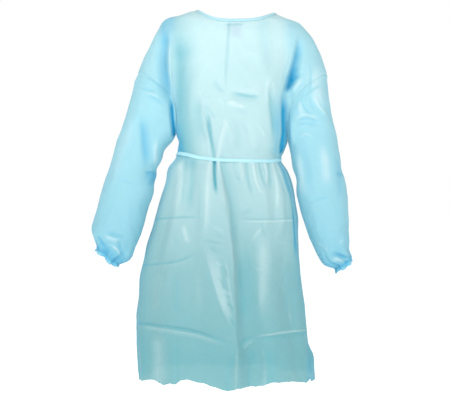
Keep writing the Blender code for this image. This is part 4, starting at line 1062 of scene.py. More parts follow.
def crease_field(creases, points, facing):
    """How far a set of creases moves each point towards the viewer, and how much painted shade, or below
    zero painted highlight, it gets.
    """
    px, py = picture_places(points)
    rise, deep = np.zeros(px.shape), np.zeros(px.shape)
    for crease in creases:
        height = crease_height(crease, px, py)
        rise += crease.rise * 0.001 * height
        deep += crease.deep * height
    weight = smooth(facing * points[..., 1] / FIELD_FADE)
    return rise * weight, deep * weight


print("sharp folds:", sum(crease.crisp == 1.0 for crease in FRONT_CREASES))

# %% [markdown]
# ## Small unevenness
#
# No part of real cloth is perfectly smooth. A displace modifier with a noise texture would do, but
# then the strips couldn't follow it. Layers of noise, one broad and one fine, give soft dents, and
# ridged noise, folded over at zero, adds the straight-edged look of stiff nonwoven cloth.

# %% Uneven cloth
BROAD_DENTS, FINE_DENTS = 0.0012, 0.0003
FACETS, WIDE_FACETS = 0.0015, 0.0030
FACET_EDGE = 2.4


def uneven(points, size, seed):
    """Soft noise from -1 to 1 at every point, with dents of a size in metres."""
    flat = points.reshape(-1, 3) / size + seed
    values = np.array([noise.noise(Vector(p)) for p in flat])
    return values.reshape(points.shape[:-1])


def crumple(points, seed):
    """Height in metres of the cloth's general unevenness."""
    broad = uneven(points * (1.0, 1.0, 0.6), 0.085, seed)
    folded = 1 - FACET_EDGE * np.abs(uneven(points * (1.0, 1.0, 0.7), 0.050, seed + 7))
    wide = 1 - FACET_EDGE * np.abs(uneven(points * (1.0, 1.0, 0.5), 0.110, seed + 17))
    fine = uneven(points, 0.016, seed + 3)
    return (BROAD_DENTS * broad + FACETS * (folded - 0.4) + WIDE_FACETS * (wide - 0.5)
            + FINE_DENTS * fine)


small_patch = crumple(panels[RIGHT, FRONT][:40, :40], 3.0)
print("unevenness of one patch:", round(float(np.ptp(small_patch)) * 1000, 1), "mm")

# %% [markdown]
# ## At the belt
#
# The belt isn't level: it hangs a little in front and slants up to the right. It presses the cloth
# in, and pleats run up and down from it, strongest a finger's width away. Cloth simulation with a
# tight ring would give such pleats too, at random places. Waves round the body keep them in order.

# %% Angle round the body
def around(points):
    """Each point's angle from the front's middle, in degrees, positive to the left side."""
    z = np.clip(points[..., 2], BODY[-1].height, BODY[0].height)
    depth = np.where(points[..., 1] < 0, read(BODY, "front", z), read(BODY, "back", z))
    across = (points[..., 0] - body_middle(z)) / body_half(z)
    return np.degrees(np.arctan2(across, -points[..., 1] / depth))


side_angle = around(np.array([BODY[0].left, 0.0, 0.0]))
print("angle at the left side:", round(float(side_angle)), "degrees")

# %% The belt's line
BELT_SLANT = ((-0.180, 0.0), (-0.165, 0.0045), (-0.105, -0.003), (-0.059, -0.006), (0.031, -0.008),
              (0.110, -0.0055), (0.150, -0.002), (0.190, 0.0))
SLANT_FADE = 0.03
TUCK, TUCK_HEIGHT, TUCK_REACH = 0.008, -0.44, 0.05
TUCK_FROM, TUCK_FADE = 0.08, 0.06


def belt_drop(points):
    """How far the front of the belt hangs above or below its even line."""
    return np.interp(points[..., 0], *zip(*BELT_SLANT)) * smooth(-points[..., 1] / SLANT_FADE)


def belt_height(points, angle):
    """The belt's height at the points' places round the body."""
    return row_height(angle, np.full(angle.shape, WAIST)) + belt_drop(points)


def waist_tuck(points):
    """How far the left side is drawn in at the belt, so that the arm hangs clear of it."""
    near = np.exp(-(((points[..., 2] - TUCK_HEIGHT) / TUCK_REACH) ** 2))
    return TUCK * near * smooth((points[..., 0] - TUCK_FROM) / TUCK_FADE)


print("the belt's lowest place is", round(-1000 * min(drop for _, drop in BELT_SLANT)), "mm down")

# %% Gathers at the belt
GATHERS_ABOVE, GATHERS_BELOW = 0.055, 0.075
GATHERS_CLEAR = 0.012
GATHERS_FRONT, GATHERS_SIDES, FRONT_ANGLE = 0.0006, 0.0022, 75


def wave(angle, count, sway, turns, start=0):
    """Waves round the body, crowded here and spread there."""
    return np.sin(np.radians(angle * count + sway * np.sin(np.radians(angle * turns + start))))


def belt_gathers(points, angle):
    """Pleats that run up and down from the belt, deepest a finger's width away from it."""
    away = points[..., 2] - belt_height(points, angle)
    reach = np.where(away > 0, GATHERS_ABOVE, GATHERS_BELOW)
    size = (1 - np.exp(-((away / GATHERS_CLEAR) ** 2))) * np.exp(-np.abs(away) / reach)
    waves = wave(angle, 17, 40, 3) + 0.6 * wave(angle, 29, 70, 2, 50)
    return np.where(np.abs(angle) < FRONT_ANGLE, GATHERS_FRONT, GATHERS_SIDES) * waves * size


print("pleats at the belt:", GATHERS_FRONT * 1000, "mm in front,", GATHERS_SIDES * 1000, "mm behind")

# %% [markdown]
# ## Creases on the hidden sides
#
# The photograph shows nothing of the back. Leaving it smooth would make another cloth of it, so its
# creases are the same kinds of fold again: two sharp packaging lines across, soft pleats from the
# belt and a few slanting pulls. Their places are counted as if the back were seen from the front.

# %% Creases on the back
BACK_CREASES = table(Crease, (
    (((160, 62), (163, 90), (172, 130)), -7, 4, 4, 0.4, 0.3),
    (((294, 60), (290, 92), (284, 130)), -7, 4, 4, 0.4, 0.3),
    (((200, 40), (196, 80), (200, 120)), 3, 6, 7, 0.2, -0.08),
    (((262, 44), (268, 84), (262, 124)), 3, 7, 6, 0.2, -0.08),
    (((214, 60), (218, 110), (224, 156)), -3, 4, 4, 0.4, 0.1, 0, 1),
    (((256, 70), (248, 116), (238, 156)), -3, 4, 4, 0.4, 0.1, 0, 1),
    (((250, 98), (226, 95), (206, 99)), -1.8, 1.6, 2.4, 1, 0.06),
    (((200, 162), (196, 200), (188, 260)), 4, 4, 5, 0.3, -0.1, 1),
    (((214, 162), (212, 210), (206, 280)), -4, 4, 4, 0.3, 0.12, 1),
    (((250, 162), (256, 206), (262, 270)), 4, 4, 4, 0.3, -0.1, 1),
    (((262, 162), (270, 200), (276, 250)), -4, 3, 4, 0.3, 0.12, 1),
    (((300, 219), (240, 221), (150, 218)), -1.5, 1.3, 1.4, 1, 0.06, 1, 1),
    (((310, 327), (240, 334), (190, 331), (136, 325)), -2.2, 1.6, 1.6, 1, 0.08, 1, 1),
    (((190, 260), (184, 300), (186, 350)), 3, 6, 6, 0.3, -0.06),
    (((268, 255), (272, 300), (270, 352)), 3, 6, 6, 0.3, -0.06),
))
print("creases on the back:", len(BACK_CREASES))

# %% Creases behind the sleeves
SLEEVE_BACK_CREASES = table(Crease, (
    (((150, 84), (141, 80), (133, 82)), -2, 1.6, 2, 0.8, 0.1),
    (((160, 150), (150, 158), (138, 160)), -4, 2.5, 3, 0.6, 0.2, 1),
    (((156, 172), (146, 176), (132, 174)), 3, 2.5, 3, 0.5, -0.08, 1),
    (((128, 130), (122, 160), (112, 196)), 2.5, 5, 5, 0.2, -0.08),
    (((138, 183), (127, 181), (114, 178)), -1.6, 1.3, 1.3, 1, 0.1),
    (((320, 86), (310, 90), (300, 98)), -2, 1.6, 2, 0.8, 0.1),
    (((340, 150), (326, 156), (310, 152)), -3.5, 2.5, 3, 0.6, 0.18),
    (((336, 172), (324, 178), (306, 176)), 3, 2.5, 3, 0.5, -0.08),
    (((331, 196), (318, 200), (306, 206)), -1.6, 1.3, 1.3, 1, 0.1),
    (((326, 130), (330, 160), (336, 200)), 2.5, 5, 5, 0.2, -0.08),
))
print("creases behind the sleeves:", len(SLEEVE_BACK_CREASES))

# %% [markdown]
# ## Creasing the panels
#
# Now every grid gets its folds, its unevenness and the grooves of its seams. Sculpting would do
# it on one finished mesh. Done on the grids, before any mesh is made, the edges still know which
# seam they belong to. The hem is a raw cut edge, so it ends in a ragged line.

# %% The hem's edge
# Where the cut edge hangs lower (below zero, higher), across the front view, in picture units.
HEM_TRIM = (
    (137, 0), (143, -3), (147, -5.5), (153, -7), (159, -4), (164, -2), (168, 0.5), (172, 3),
    (176, 2.5), (181, -2), (189, -3.5), (197, -2), (211, -2), (219, -1), (227, 0.5), (239, -1.5),
    (255, 1.5), (263, 1), (271, -1.5), (283, -1), (299, 1), (307, 0), (311, -3), (316, -4),
)
TRIM_ROWS, TORN_ROWS = 24, 8
TORN_FINE, TORN_BROAD = 0.0020, 0.0018


def last_rows(points, count):
    """A share for each row that grows from 0 to 1 over the last rows."""
    return smooth((np.arange(len(points)) - len(points) + count + 1) / count)[:, None]


def trim_hem(points, facing):
    """Moves the last rows up and down, so that the hem is ragged."""
    edge = points[-1:]
    torn = TORN_FINE * uneven(edge, 0.012, 31.0) + TORN_BROAD * uneven(edge, 0.034, 37.0)
    points[..., 2] += last_rows(points, TORN_ROWS) * torn
    if facing == FRONT:
        trim = np.interp(picture_places(points)[0][-1:], *zip(*HEM_TRIM))
        points[..., 2] -= last_rows(points, TRIM_ROWS) * PICTURE_UNIT * trim


print("places on the hem:", len(HEM_TRIM))

# %% Creases on a panel
SEAM_GROOVE, SEAM_WIDTH = 0.0016, 0.0028
BELT_HOLDS, BELT_HOLD_REACH = 0.88, 0.009
NECK_HOLD_START, NECK_HOLD_REACH, NECK_HOLD_ROWS = 0.009, 0.016, 30


def seam_pinch(distance):
    """The shallow groove where two panels are sewn together."""
    return -SEAM_GROOVE * np.exp(-((distance / SEAM_WIDTH) ** 2))


def held_share(points, angle):
    """How free the cloth is to crease: hardly under the belt, and not at all in the binding."""
    belt = np.abs(points[..., 2] - belt_height(points, angle))
    held = 1 - BELT_HOLDS * np.exp(-((belt / BELT_HOLD_REACH) ** 2))
    edge = points[0, : NECK_STEPS + 1]
    rows = points[:NECK_HOLD_ROWS, :, None]
    near = np.linalg.norm(rows - edge, axis=-1).min(axis=-1)
    held[:NECK_HOLD_ROWS] *= smooth((near - NECK_HOLD_START) / NECK_HOLD_REACH)
    return held


def crease_panel(points, facing):
    """Creases a panel; returns its points, its painted shade and highlight, and the angles round the
    body.
    """
    normals = grid_normals(points)
    if (normals[YOKE_ROWS, :, 1] * facing).mean() < 0:
        normals = -normals
    rise, deep = crease_field(FRONT_CREASES if facing == FRONT else BACK_CREASES, points, facing)
    points = points.copy()
    angle = around(points)
    small = crumple(points, 3.0) + belt_gathers(points, angle)
    held = held_share(points, angle)
    points += normals * (small * held)[..., None]
    points[..., 1] += facing * rise * held
    points[..., 0] -= waist_tuck(points)
    trim_hem(points, facing)
    return points, deep, angle


def edge_distance(points):
    """Distance of each point from its row's last point, along the row."""
    steps = np.linalg.norm(np.diff(points, axis=1), axis=-1)
    runs = np.cumsum(steps[:, ::-1], axis=1)[:, ::-1]
    return np.concatenate([runs, np.zeros((len(points), 1))], axis=1)


print("seam grooves:", SEAM_GROOVE * 1000, "mm deep")

# %% The creased panels
# Towards the side seams, from the underarms down, the panels get painted shade where the cloth turns
# away.
SIDE_FADE = 40
SIDE_START = {FRONT: 52, BACK: 128}
SIDE_BELOW = 0.12
SIDE_SHADE = 0.22
creased, painted_shade_marks = {}, {}
for (side, facing), points in panels.items():
    made, deep, angle = crease_panel(points, facing)
    below = smooth((CHEST + SIDE_BELOW - points[..., 2]) / SIDE_BELOW)
    side_shade_share = smooth(-facing * (np.abs(angle) - SIDE_START[facing]) / SIDE_FADE) * below
    normals = grid_normals(points)
    normals *= np.sign((normals[YOKE_ROWS, :, 1] * facing).mean())
    creased[side, facing] = made + normals * seam_pinch(edge_distance(points))[..., None]
    painted_shade_marks[side, facing] = deep + SIDE_SHADE * side_shade_share
print("deepest colour on the front:", round(float(painted_shade_marks[RIGHT, FRONT].max()), 2))

# %% Where the colour changes
# Over the arms, above the seams, the panels keep the cloth's own bluer colour. Elsewhere the
# body is painted paler, standing in for light that glows through the cloth from inside.
ARM_EDGES = {
    RIGHT: ((20, 174), (60, 168), (100, 175), (150, 182), (200, 162), (260, 147), (330, 141),
            (390, 138)),
    LEFT: ((20, 284), (60, 288), (100, 277), (150, 273), (200, 290), (260, 295), (330, 306),
           (390, 310)),
}
SHADE_DOWN_THE_GOWN = ((0.10, 0.0), (0.35, 0.14), (0.58, 0.32), (0.80, 0.74), (1.05, 0.97))
LABEL_SHOWS = 0.16


def arm_share(points):
    """How far a point of a panel belongs to the arm, which keeps the cloth's bluer colour where the body
    is painted paler.
    """
    px, py = picture_places(points)
    right, left = (np.interp(py, *zip(*ARM_EDGES[side])) for side in (RIGHT, LEFT))
    return smooth((np.maximum(right - px, px - left) + 6) / 14) * 0.85


def shade_down_the_gown(points):
    """How far down the gown a point is: painted shade deepens the colour steadily towards the hem."""
    return np.interp(-points[..., 2], *zip(*SHADE_DOWN_THE_GOWN))


def label_share(points):
    """Where the label inside the neck shows through."""
    px, py = picture_places(points)
    across = smooth((px - 230.5) / 4) * smooth((243.5 - px) / 2.5)
    down = smooth((py - 25.0) / 2) * smooth((39.0 - py) / 2.5)
    return LABEL_SHOWS * across * down * (points[..., 1] < 0)


def panel_marks(points, deep):
    """The marks that a panel's shader reads."""
    return {"deep": deep, "arm": arm_share(points), "low": shade_down_the_gown(points),
            "label": label_share(points)}


print("depth of colour at the hem:", SHADE_DOWN_THE_GOWN[-1][1])

# %% Where the sleeves bulge
# Places, pushes and reach are in picture units: to the right of the view, and down.
Push = namedtuple("Push", "x y right down reach")
SLEEVE_PUSHES = table(Push, (
    (127, 256, 2.4, 2.6, 9),
    (120, 262, 2.2, 0.8, 7),
    (98, 252, -0.5, 0, 5),
    (168, 151, -3, 0, 8),
    (154, 176, 3, 0, 6),
    (97, 203, 2.2, 0, 20),
    (327, 261, -1.6, 3.4, 9),
    (337, 268, 0, 0.2, 6),
    (341, 148, -2, 0, 12),
    (350, 210, -1.8, 0, 24),
    (353, 250, -2.6, 0, 7),
))


def pushed(points):
    """Sleeve points moved across the view, where the outline sags or is drawn in."""
    px, py = picture_places(points)
    points = points.copy()
    for push in SLEEVE_PUSHES:
        away = ((px - push.x) ** 2 + (py - push.y) ** 2) / push.reach**2
        share = np.exp(-away) * PICTURE_UNIT
        points[..., 0] += push.right * share
        points[..., 2] -= push.down * share
    return points


print("pushes:", len(SLEEVE_PUSHES))

# %% The creased sleeves
# The pleats above the cuffs get painted shade in their valleys.
GATHER_PLEATS, GATHER_SHADE = 0.0030, 0.12
SLEEVE_START = 0.03
SLEEVE_REACH = 0.6


def cuff_pleats(phase):
    """The pleats that the elastic draws the sleeve into, uneven in width."""
    wide = np.cos(7 * phase + 0.9 * np.sin(2 * phase + 1))
    return wide + 0.5 * np.cos(12 * phase + 2 * np.sin(3 * phase))


creased_sleeves, sleeve_shade_marks = {}, {}
for side, rings in sleeves.items():
    normals = grid_normals(rings, wraps=True) * -side
    share = np.linspace(0, 1, len(rings))[:, None]
    phase = np.linspace(0, 2 * math.pi, rings.shape[1], endpoint=False)[None]
    gather = smooth((share - GATHER_START) / (1 - GATHER_START)) ** 1.5
    pleats = cuff_pleats(phase)
    small = crumple(rings, 11.0 + side) + GATHER_PLEATS * gather * pleats
    small = small * smooth(share / SLEEVE_START) + seam_pinch(share * SLEEVE_REACH)
    front_rise, front_shade_marks = crease_field(ARM_CREASES, rings, FRONT)
    back_rise, back_deep = crease_field(SLEEVE_BACK_CREASES, rings, BACK)
    rings = rings + normals * small[..., None]
    rings[..., 1] += back_rise - front_rise
    creased_sleeves[side] = pushed(rings)
    sleeve_shade_marks[side] = front_shade_marks + back_deep + GATHER_SHADE * gather * (1 - pleats) / 2
print("deepest colour on the sleeves:", round(float(sleeve_shade_marks[RIGHT].max()), 2))


# %% [markdown]
# ## Shader groups for the cloth
#
# The gown is spunbond nonwoven: fibres laid at random and melted together in a grid of tiny dots.
# It creases like paper and lets some light through. Four effects are shared by all its cloth, so
# each is a node group with named sockets: the fibre web, the paper-like crumple, the tint that
# paints shade and highlights into the colour, and the cloud-like unevenness of the web. An image of
# real cloth could be used, but a procedural pattern keeps its true size on every piece.

# %% Helpers for node groups
def shader_group(name, inputs, outputs):
    """An empty node group with named sockets, and its input and output nodes."""
    group = bpy.data.node_groups.new(name, "ShaderNodeTree")
    for label, kind, value in inputs:
        socket = group.interface.new_socket(label, in_out="INPUT", socket_type=kind)
        if value is not None:
            socket.default_value = value
    for label, kind in outputs:
        group.interface.new_socket(label, in_out="OUTPUT", socket_type=kind)
    return group, group.nodes.new("NodeGroupInput"), group.nodes.new("NodeGroupOutput")


def feed(tree, socket, value):
    """Links a value that is an output socket, and sets any other on the socket itself."""
    if isinstance(value, bpy.types.NodeSocket):
        tree.links.new(value, socket)
    else:
        socket.default_value = value


def put(tree, kind, **values):
    """Adds a node. Values go to its settings, to its sockets by name, or to i0, i1 by number."""
    node = tree.nodes.new(kind)
    for label, value in values.items():
        if hasattr(node, label):
            setattr(node, label, value)
        elif label[0] == "i" and label[1:].isdigit():
            feed(tree, node.inputs[int(label[1:])], value)
        else:
            feed(tree, node.inputs[label.replace("_", " ")], value)
    return node


def calculate(tree, operation, first, second=0.0, third=0.0):
    return put(tree, "ShaderNodeMath", operation=operation, i0=first, i1=second, i2=third).outputs[0]


def blend_colours(tree, share, first, second):
    node = put(tree, "ShaderNodeMix", data_type="RGBA", i0=share, i6=first, i7=second)
    return node.outputs[2]


print("helpers ready: a node's value can be set or linked in the same way")

# %% The fibre web and its bond dots
web, start, end = shader_group(
    "fibre_web",
    [("Place", "NodeSocketVector", None), ("Dot Pitch", "NodeSocketFloat", 0.0011),
     ("Height", "NodeSocketFloat", 0.00006)],
    [("Height", "NodeSocketFloat"), ("Dots", "NodeSocketFloat")])
turns = calculate(web, "DIVIDE", 2 * math.pi, start.outputs["Dot Pitch"])
parts = put(web, "ShaderNodeSeparateXYZ", Vector=start.outputs["Place"])
along = calculate(web, "SINE", calculate(web, "MULTIPLY", parts.outputs["X"], turns))
down = calculate(web, "SINE", calculate(web, "MULTIPLY", parts.outputs["Y"], turns))
dots = calculate(web, "SMOOTH_MAX", calculate(web, "MULTIPLY", along, down), 0.0, 0.1)
fibres = put(web, "ShaderNodeTexNoise", Vector=start.outputs["Place"], Scale=1400.0, Detail=3.0,
             Roughness=0.6, Distortion=1.2)
raised = calculate(web, "SUBTRACT", fibres.outputs["Fac"], dots)
web.links.new(calculate(web, "MULTIPLY", raised, start.outputs["Height"]), end.inputs["Height"])
web.links.new(dots, end.inputs["Dots"])
print(web.name, "has", len(web.nodes), "nodes")

# %% The paper-like crumple
crush, start, end = shader_group(
    "paper_crumple",
    [("Place", "NodeSocketVector", None), ("Size", "NodeSocketFloat", 0.045),
     ("Height", "NodeSocketFloat", 0.0012)],
    [("Height", "NodeSocketFloat")])
scaled = put(crush, "ShaderNodeVectorMath", operation="DIVIDE", i0=start.outputs["Place"],
             i1=start.outputs["Size"]).outputs[0]
bent = put(crush, "ShaderNodeTexNoise", Vector=scaled, Scale=0.9, Detail=2.0)
shift = put(crush, "ShaderNodeVectorMath", operation="MULTIPLY_ADD", i0=bent.outputs["Color"],
            i1=(1.1, 1.1, 1.1), i2=scaled).outputs[0]
facets = put(crush, "ShaderNodeTexVoronoi", Vector=shift, feature="SMOOTH_F1", Scale=0.8,
             Smoothness=0.35)
small = put(crush, "ShaderNodeTexNoise", Vector=shift, Scale=2.2, Detail=3.0, Roughness=0.5)
ridges = calculate(crush, "ABSOLUTE", calculate(crush, "SUBTRACT", small.outputs["Fac"], 0.5))
height = calculate(crush, "MULTIPLY_ADD", ridges, -1.6, facets.outputs["Distance"])
crush.links.new(calculate(crush, "MULTIPLY", height, start.outputs["Height"]), end.inputs["Height"])
print(crush.name, "has", len(crush.nodes), "nodes")

# %% Cloudy unevenness of the web
cloud, start, end = shader_group(
    "cloudy_web",
    [("Place", "NodeSocketVector", None), ("Size", "NodeSocketFloat", 0.012)],
    [("Shade", "NodeSocketFloat"), ("Roughness", "NodeSocketFloat")])
scaled = put(cloud, "ShaderNodeVectorMath", operation="DIVIDE", i0=start.outputs["Place"],
             i1=start.outputs["Size"]).outputs[0]
patches = put(cloud, "ShaderNodeTexNoise", Vector=scaled, Scale=1.0, Detail=4.0, Roughness=0.6)
broad = put(cloud, "ShaderNodeTexNoise", Vector=scaled, Scale=0.14, Detail=2.0)
shade = calculate(cloud, "MULTIPLY_ADD", broad.outputs["Fac"], 0.8, patches.outputs["Fac"])
cloud.links.new(calculate(cloud, "SUBTRACT", shade, 0.9), end.inputs["Shade"])
cloud.links.new(calculate(cloud, "MULTIPLY_ADD", shade, 0.16, 0.50), end.inputs["Roughness"])
print(cloud.name, "has", len(cloud.nodes), "nodes")

# %% Painted shade and highlights
# Painted shade deepens the colour in folds and painted highlights pale it on ridges, the
# highlights less towards the hem, where painted shade darkens the cloth. The arms keep the cloth's
# bluer colour, and the body is painted paler.
SHADE_SHARE, DOT_SHARE = -0.06, 0.04
HIGHLIGHT_GAIN, HIGHLIGHT_LOSS_LOW, BLUE_GAIN = -4.5, -0.62, 1.6
MARKS = ("Deep", "Arm", "Low", "Label")
COLOURS = ("Pale Colour", "Cloth Colour", "Arm Colour", "Low Colour", "Label Colour", "Deep Colour",
           "Deep Arm Colour")
LABEL_TINT = (0.6, 0.68, 0.85, 1)
tint, start, end = shader_group(
    "painted_shade_and_highlight",
    [(name, "NodeSocketFloat", 0.0) for name in (*MARKS, "Shade", "Dots")]
    + [(name, "NodeSocketColor", LABEL_TINT if name == "Label Colour" else (1, 1, 1, 1))
       for name in COLOURS],
    [("Colour", "NodeSocketColor")])
given = start.outputs
marked = calculate(tint, "MULTIPLY_ADD", given["Shade"], SHADE_SHARE, given["Deep"])
marked = calculate(tint, "MULTIPLY_ADD", given["Dots"], DOT_SHARE, marked)
painted_shade = put(tint, "ShaderNodeClamp", Value=marked).outputs[0]
high = calculate(tint, "MULTIPLY_ADD", given["Low"], HIGHLIGHT_LOSS_LOW, 1.0)
painted_highlight = put(tint, "ShaderNodeClamp", Value=calculate(tint, "MULTIPLY", marked, HIGHLIGHT_GAIN)).outputs[0]
painted_highlight = calculate(tint, "MULTIPLY", painted_highlight, high)
bluer = calculate(tint, "MULTIPLY", given["Arm"], BLUE_GAIN)
bluer = put(tint, "ShaderNodeClamp", Value=bluer).outputs[0]
deepest = blend_colours(tint, bluer, given["Deep Colour"], given["Deep Arm Colour"])
colour = blend_colours(tint, given["Arm"], given["Cloth Colour"], given["Arm Colour"])
colour = blend_colours(tint, given["Low"], colour, given["Low Colour"])
colour = blend_colours(tint, given["Label"], colour, given["Label Colour"])
colour = blend_colours(tint, painted_shade, colour, deepest)
colour = blend_colours(tint, painted_highlight, colour, given["Pale Colour"])
tint.links.new(colour, end.inputs["Colour"])
print("shader groups:", [group.name for group in bpy.data.node_groups])

# %% [markdown]
# ## The cloth's finishes
#
# The web is matt, and light from behind glows through it. Subsurface scattering could show that,
# but is meant for thick things, so each finish is a Principled shader with a Translucent one mixed
# in. All use the same groups with their own colours, sizes and depths.

# %% Cloth material
def srgb(red, green, blue):
    """A colour as a screen shows it, 0 to 255, in the linear values that shaders use."""
    shares = [part / 255 for part in (red, green, blue)]
    linear = [c / 12.92 if c <= 0.04 else ((c + 0.055) / 1.055) ** 2.4 for c in shares]
    return (*linear, 1.0)


def place_group(tree, group, **values):
    """Places a shader group in a material, with the material's own values."""
    return put(tree, "ShaderNodeGroup", node_tree=group, **values).outputs


def cloth_finish(name, pale, middle, deep, deep_arm=None, arm=None, low=None, glow=0.28, cover=0.96,
                 crumple_size=0.045, crumple_height=0.0012):
    """Nonwoven cloth: fibres, dots, crumple, painted shade and highlights, light glowing through."""
    material = bpy.data.materials.new(name)
    material.use_nodes = True
    tree = material.node_tree
    shader = tree.nodes["Principled BSDF"]
    for label, value in (("Specular IOR Level", 0.22), ("Sheen Weight", 0.12),
                         ("Sheen Roughness", 0.4), ("Alpha", cover)):
        shader.inputs[label].default_value = value
    cloth_place = put(tree, "ShaderNodeUVMap", uv_map="cloth").outputs["UV"]
    place = put(tree, "ShaderNodeTexCoord").outputs["Object"]
    marks = {mark: put(tree, "ShaderNodeAttribute", attribute_name=mark.lower()).outputs["Fac"]
             for mark in MARKS}
    fibres = place_group(tree, web, Place=cloth_place)
    crumpled = place_group(tree, crush, Place=place, Size=crumple_size, Height=crumple_height)
    cloudy = place_group(tree, cloud, Place=place)
    colours = {"Pale_Colour": pale, "Cloth_Colour": middle, "Arm_Colour": arm or middle,
               "Low_Colour": low or middle, "Deep_Colour": deep, "Deep_Arm_Colour": deep_arm or deep}
    colour = place_group(tree, tint, **marks, Shade=cloudy["Shade"], Dots=fibres["Dots"],
                         **{label: srgb(*value) for label, value in colours.items()})["Colour"]
    height = calculate(tree, "ADD", fibres["Height"], crumpled["Height"])
    bump = put(tree, "ShaderNodeBump", Strength=0.8, Distance=1.0, Height=height).outputs["Normal"]
    tree.links.new(colour, shader.inputs["Base Color"])
    tree.links.new(cloudy["Roughness"], shader.inputs["Roughness"])
    tree.links.new(bump, shader.inputs["Normal"])
    glowing = put(tree, "ShaderNodeBsdfTranslucent", Color=colour, Normal=bump).outputs["BSDF"]
    mix = put(tree, "ShaderNodeMixShader", i0=glow, i1=shader.outputs["BSDF"], i2=glowing)
    tree.links.new(mix.outputs["Shader"], tree.nodes["Material Output"].inputs["Surface"])
    return material


# %% The gown's finishes
# Each finish has a painted highlight colour, its cloth colour and a painted shade colour for folds. For
# the body the middle colour is painted paler, as if lit through from inside, the arm colour is the
# cloth's own bluer one, and the low colour is painted shade towards the hem.
AQUA = {"pale": (232, 248, 249), "middle": (208, 236, 238), "arm": (177, 226, 236),
        "low": (122, 181, 187)}
FOLD_SHADE_TEAL, FOLD_SHADE_BLUE = (84, 182, 198), (24, 170, 218)
body_cloth = cloth_finish("body_cloth", deep=FOLD_SHADE_TEAL, deep_arm=FOLD_SHADE_BLUE, **AQUA)
sleeve_cloth = cloth_finish("sleeve_cloth", deep=FOLD_SHADE_BLUE, **{**AQUA, "low": (125, 197, 216)})
strip_cloth = cloth_finish("strip_cloth", (226, 248, 250), (192, 238, 246), (80, 184, 216),
                           glow=0.2, cover=1.0, crumple_size=0.015, crumple_height=0.0004)
cuff_cloth = cloth_finish("cuff_cloth", (196, 232, 244), (128, 206, 230), FOLD_SHADE_BLUE,
                          glow=0.25, cover=1.0, crumple_size=0.02, crumple_height=0.0006)
label_cloth = cloth_finish("label_cloth", (235, 238, 250), (205, 212, 240), (150, 170, 215),
                           glow=0.1, cover=1.0, crumple_size=0.03, crumple_height=0.0002)
thread = cloth_finish("thread", (235, 250, 253), (215, 244, 250), (120, 200, 230),
                      glow=0.0, cover=1.0, crumple_size=0.002, crumple_height=0.00005)
print("finishes:", [material.name for material in bpy.data.materials])

# %% [markdown]
# ## Front, backs and sleeves
#
# The front is one panel, the backs are two, with free edges that cross, and each sleeve is a tube.
# The front could be made whole from the start. As two halves that share their middle column, it
# is cut like the backs, and its side seams have the same points as theirs, so nothing gapes.

# %% Front
front_points = np.concatenate([creased[RIGHT, FRONT][:, :0:-1], creased[LEFT, FRONT]], axis=1)
front_shade_marks = np.concatenate([painted_shade_marks[RIGHT, FRONT][:, :0:-1], painted_shade_marks[LEFT, FRONT]], axis=1)
front_normals = grid_normals(front_points)
front_normals *= -np.sign(front_normals[YOKE_ROWS, :, 1].mean())
front_marks = panel_marks(front_points, front_shade_marks)
front = build_shell("front_cloth", front_points, front_normals, marks=front_marks)
dress(front, body_cloth, "front")

# %% Backs
backs = {}
for side in (RIGHT, LEFT):
    points = creased[side, BACK]
    normals = grid_normals(points)
    normals *= np.sign(normals[YOKE_ROWS, :, 1].mean())
    name = f"back_{side_name(side)}"
    marks = panel_marks(points, painted_shade_marks[side, BACK])
    backs[side] = build_shell(f"{name}_cloth", points, normals, marks=marks)
    dress(backs[side], body_cloth, name)

# %% Sleeves
# Painted shade deepens the sleeves towards their lower ends, as on the body.
SLEEVE_SHADE_DOWN, SLEEVE_SHADE_POWER = 0.9, 1.3
sleeve_pieces = {}
for side, rings in creased_sleeves.items():
    normals = grid_normals(rings, wraps=True) * -side
    name = f"sleeve_{side_name(side)}"
    marks = {"deep": sleeve_shade_marks[side], "arm": np.ones(rings.shape[:2]),
             "low": SLEEVE_SHADE_DOWN * shade_down_the_gown(rings) ** SLEEVE_SHADE_POWER}
    sleeve_pieces[side] = build_shell(f"{name}_cloth", rings, normals, wraps=True, marks=marks)
    dress(sleeve_pieces[side], sleeve_cloth, name)

# %% [markdown]
# ## Neck binding
#
# The neck edge is raw, so a narrow strip is folded over it: one leg outside, one inside, and one
# row of stitches through all layers. It is computed from the neck edge itself. At the shoulder's
# corner it turns like a fan. A curve with a bevel would be quicker, but would make a round cord.

# %% Stations of the binding
BINDING_WIDTH, BINDING_OUT = 0.009, 0.0012
BINDING_STEPS, BINDING_LINES = 60, 6
CORNER_SHARES = (0.33, 0.66, 1.0)


def neck_strip(side, facing, depths):
    """Points across the strip at each station, from the panel's middle to the shoulder seam."""
    flat = top_edge(side, facing, BINDING_STEPS, SHOULDER_STEPS)[: BINDING_STEPS + 1]
    run = np.gradient(flat, axis=0)
    away = unit(np.stack([side * run[:, 1], -side * run[:, 0]], axis=-1))
    shoulder = shoulder_line(side, SHOULDER_SAMPLES)
    seam = pick_at(depths, run_lengths(shoulder), shoulder)
    lines = [edge + way * depths[:, None] for edge, way in zip(flat, away)]
    lines += [lines[BINDING_STEPS] * (1 - share) + seam * share for share in CORNER_SHARES]
    points = lay_on_yoke(side, facing, np.array(lines))
    points[-1, :, 1] = 0.0
    normals = grid_normals(points)
    return points, normals * np.sign((normals[: BINDING_STEPS // 2, :, 1] * facing).mean())


depths = np.linspace(0.0, BINDING_WIDTH, BINDING_LINES)
stations, leans = [], []
for side, facing in ((RIGHT, BACK), (RIGHT, FRONT), (LEFT, FRONT), (LEFT, BACK)):
    points, normals = neck_strip(side, facing, depths)
    if (side, facing) in ((RIGHT, FRONT), (LEFT, BACK)):
        points, normals = points[::-1], normals[::-1]
    stations.append(points if not stations else points[1:])
    leans.append(normals if not leans else normals[1:])
stations, leans = np.concatenate(stations), np.concatenate(leans)
along = unit(np.gradient(stations[:, 0], axis=0))
upward = unit(stations[:, 0] - stations[:, 1])
upward = unit(upward - (upward * along).sum(-1, keepdims=True) * along)
print("binding stations:", len(stations))

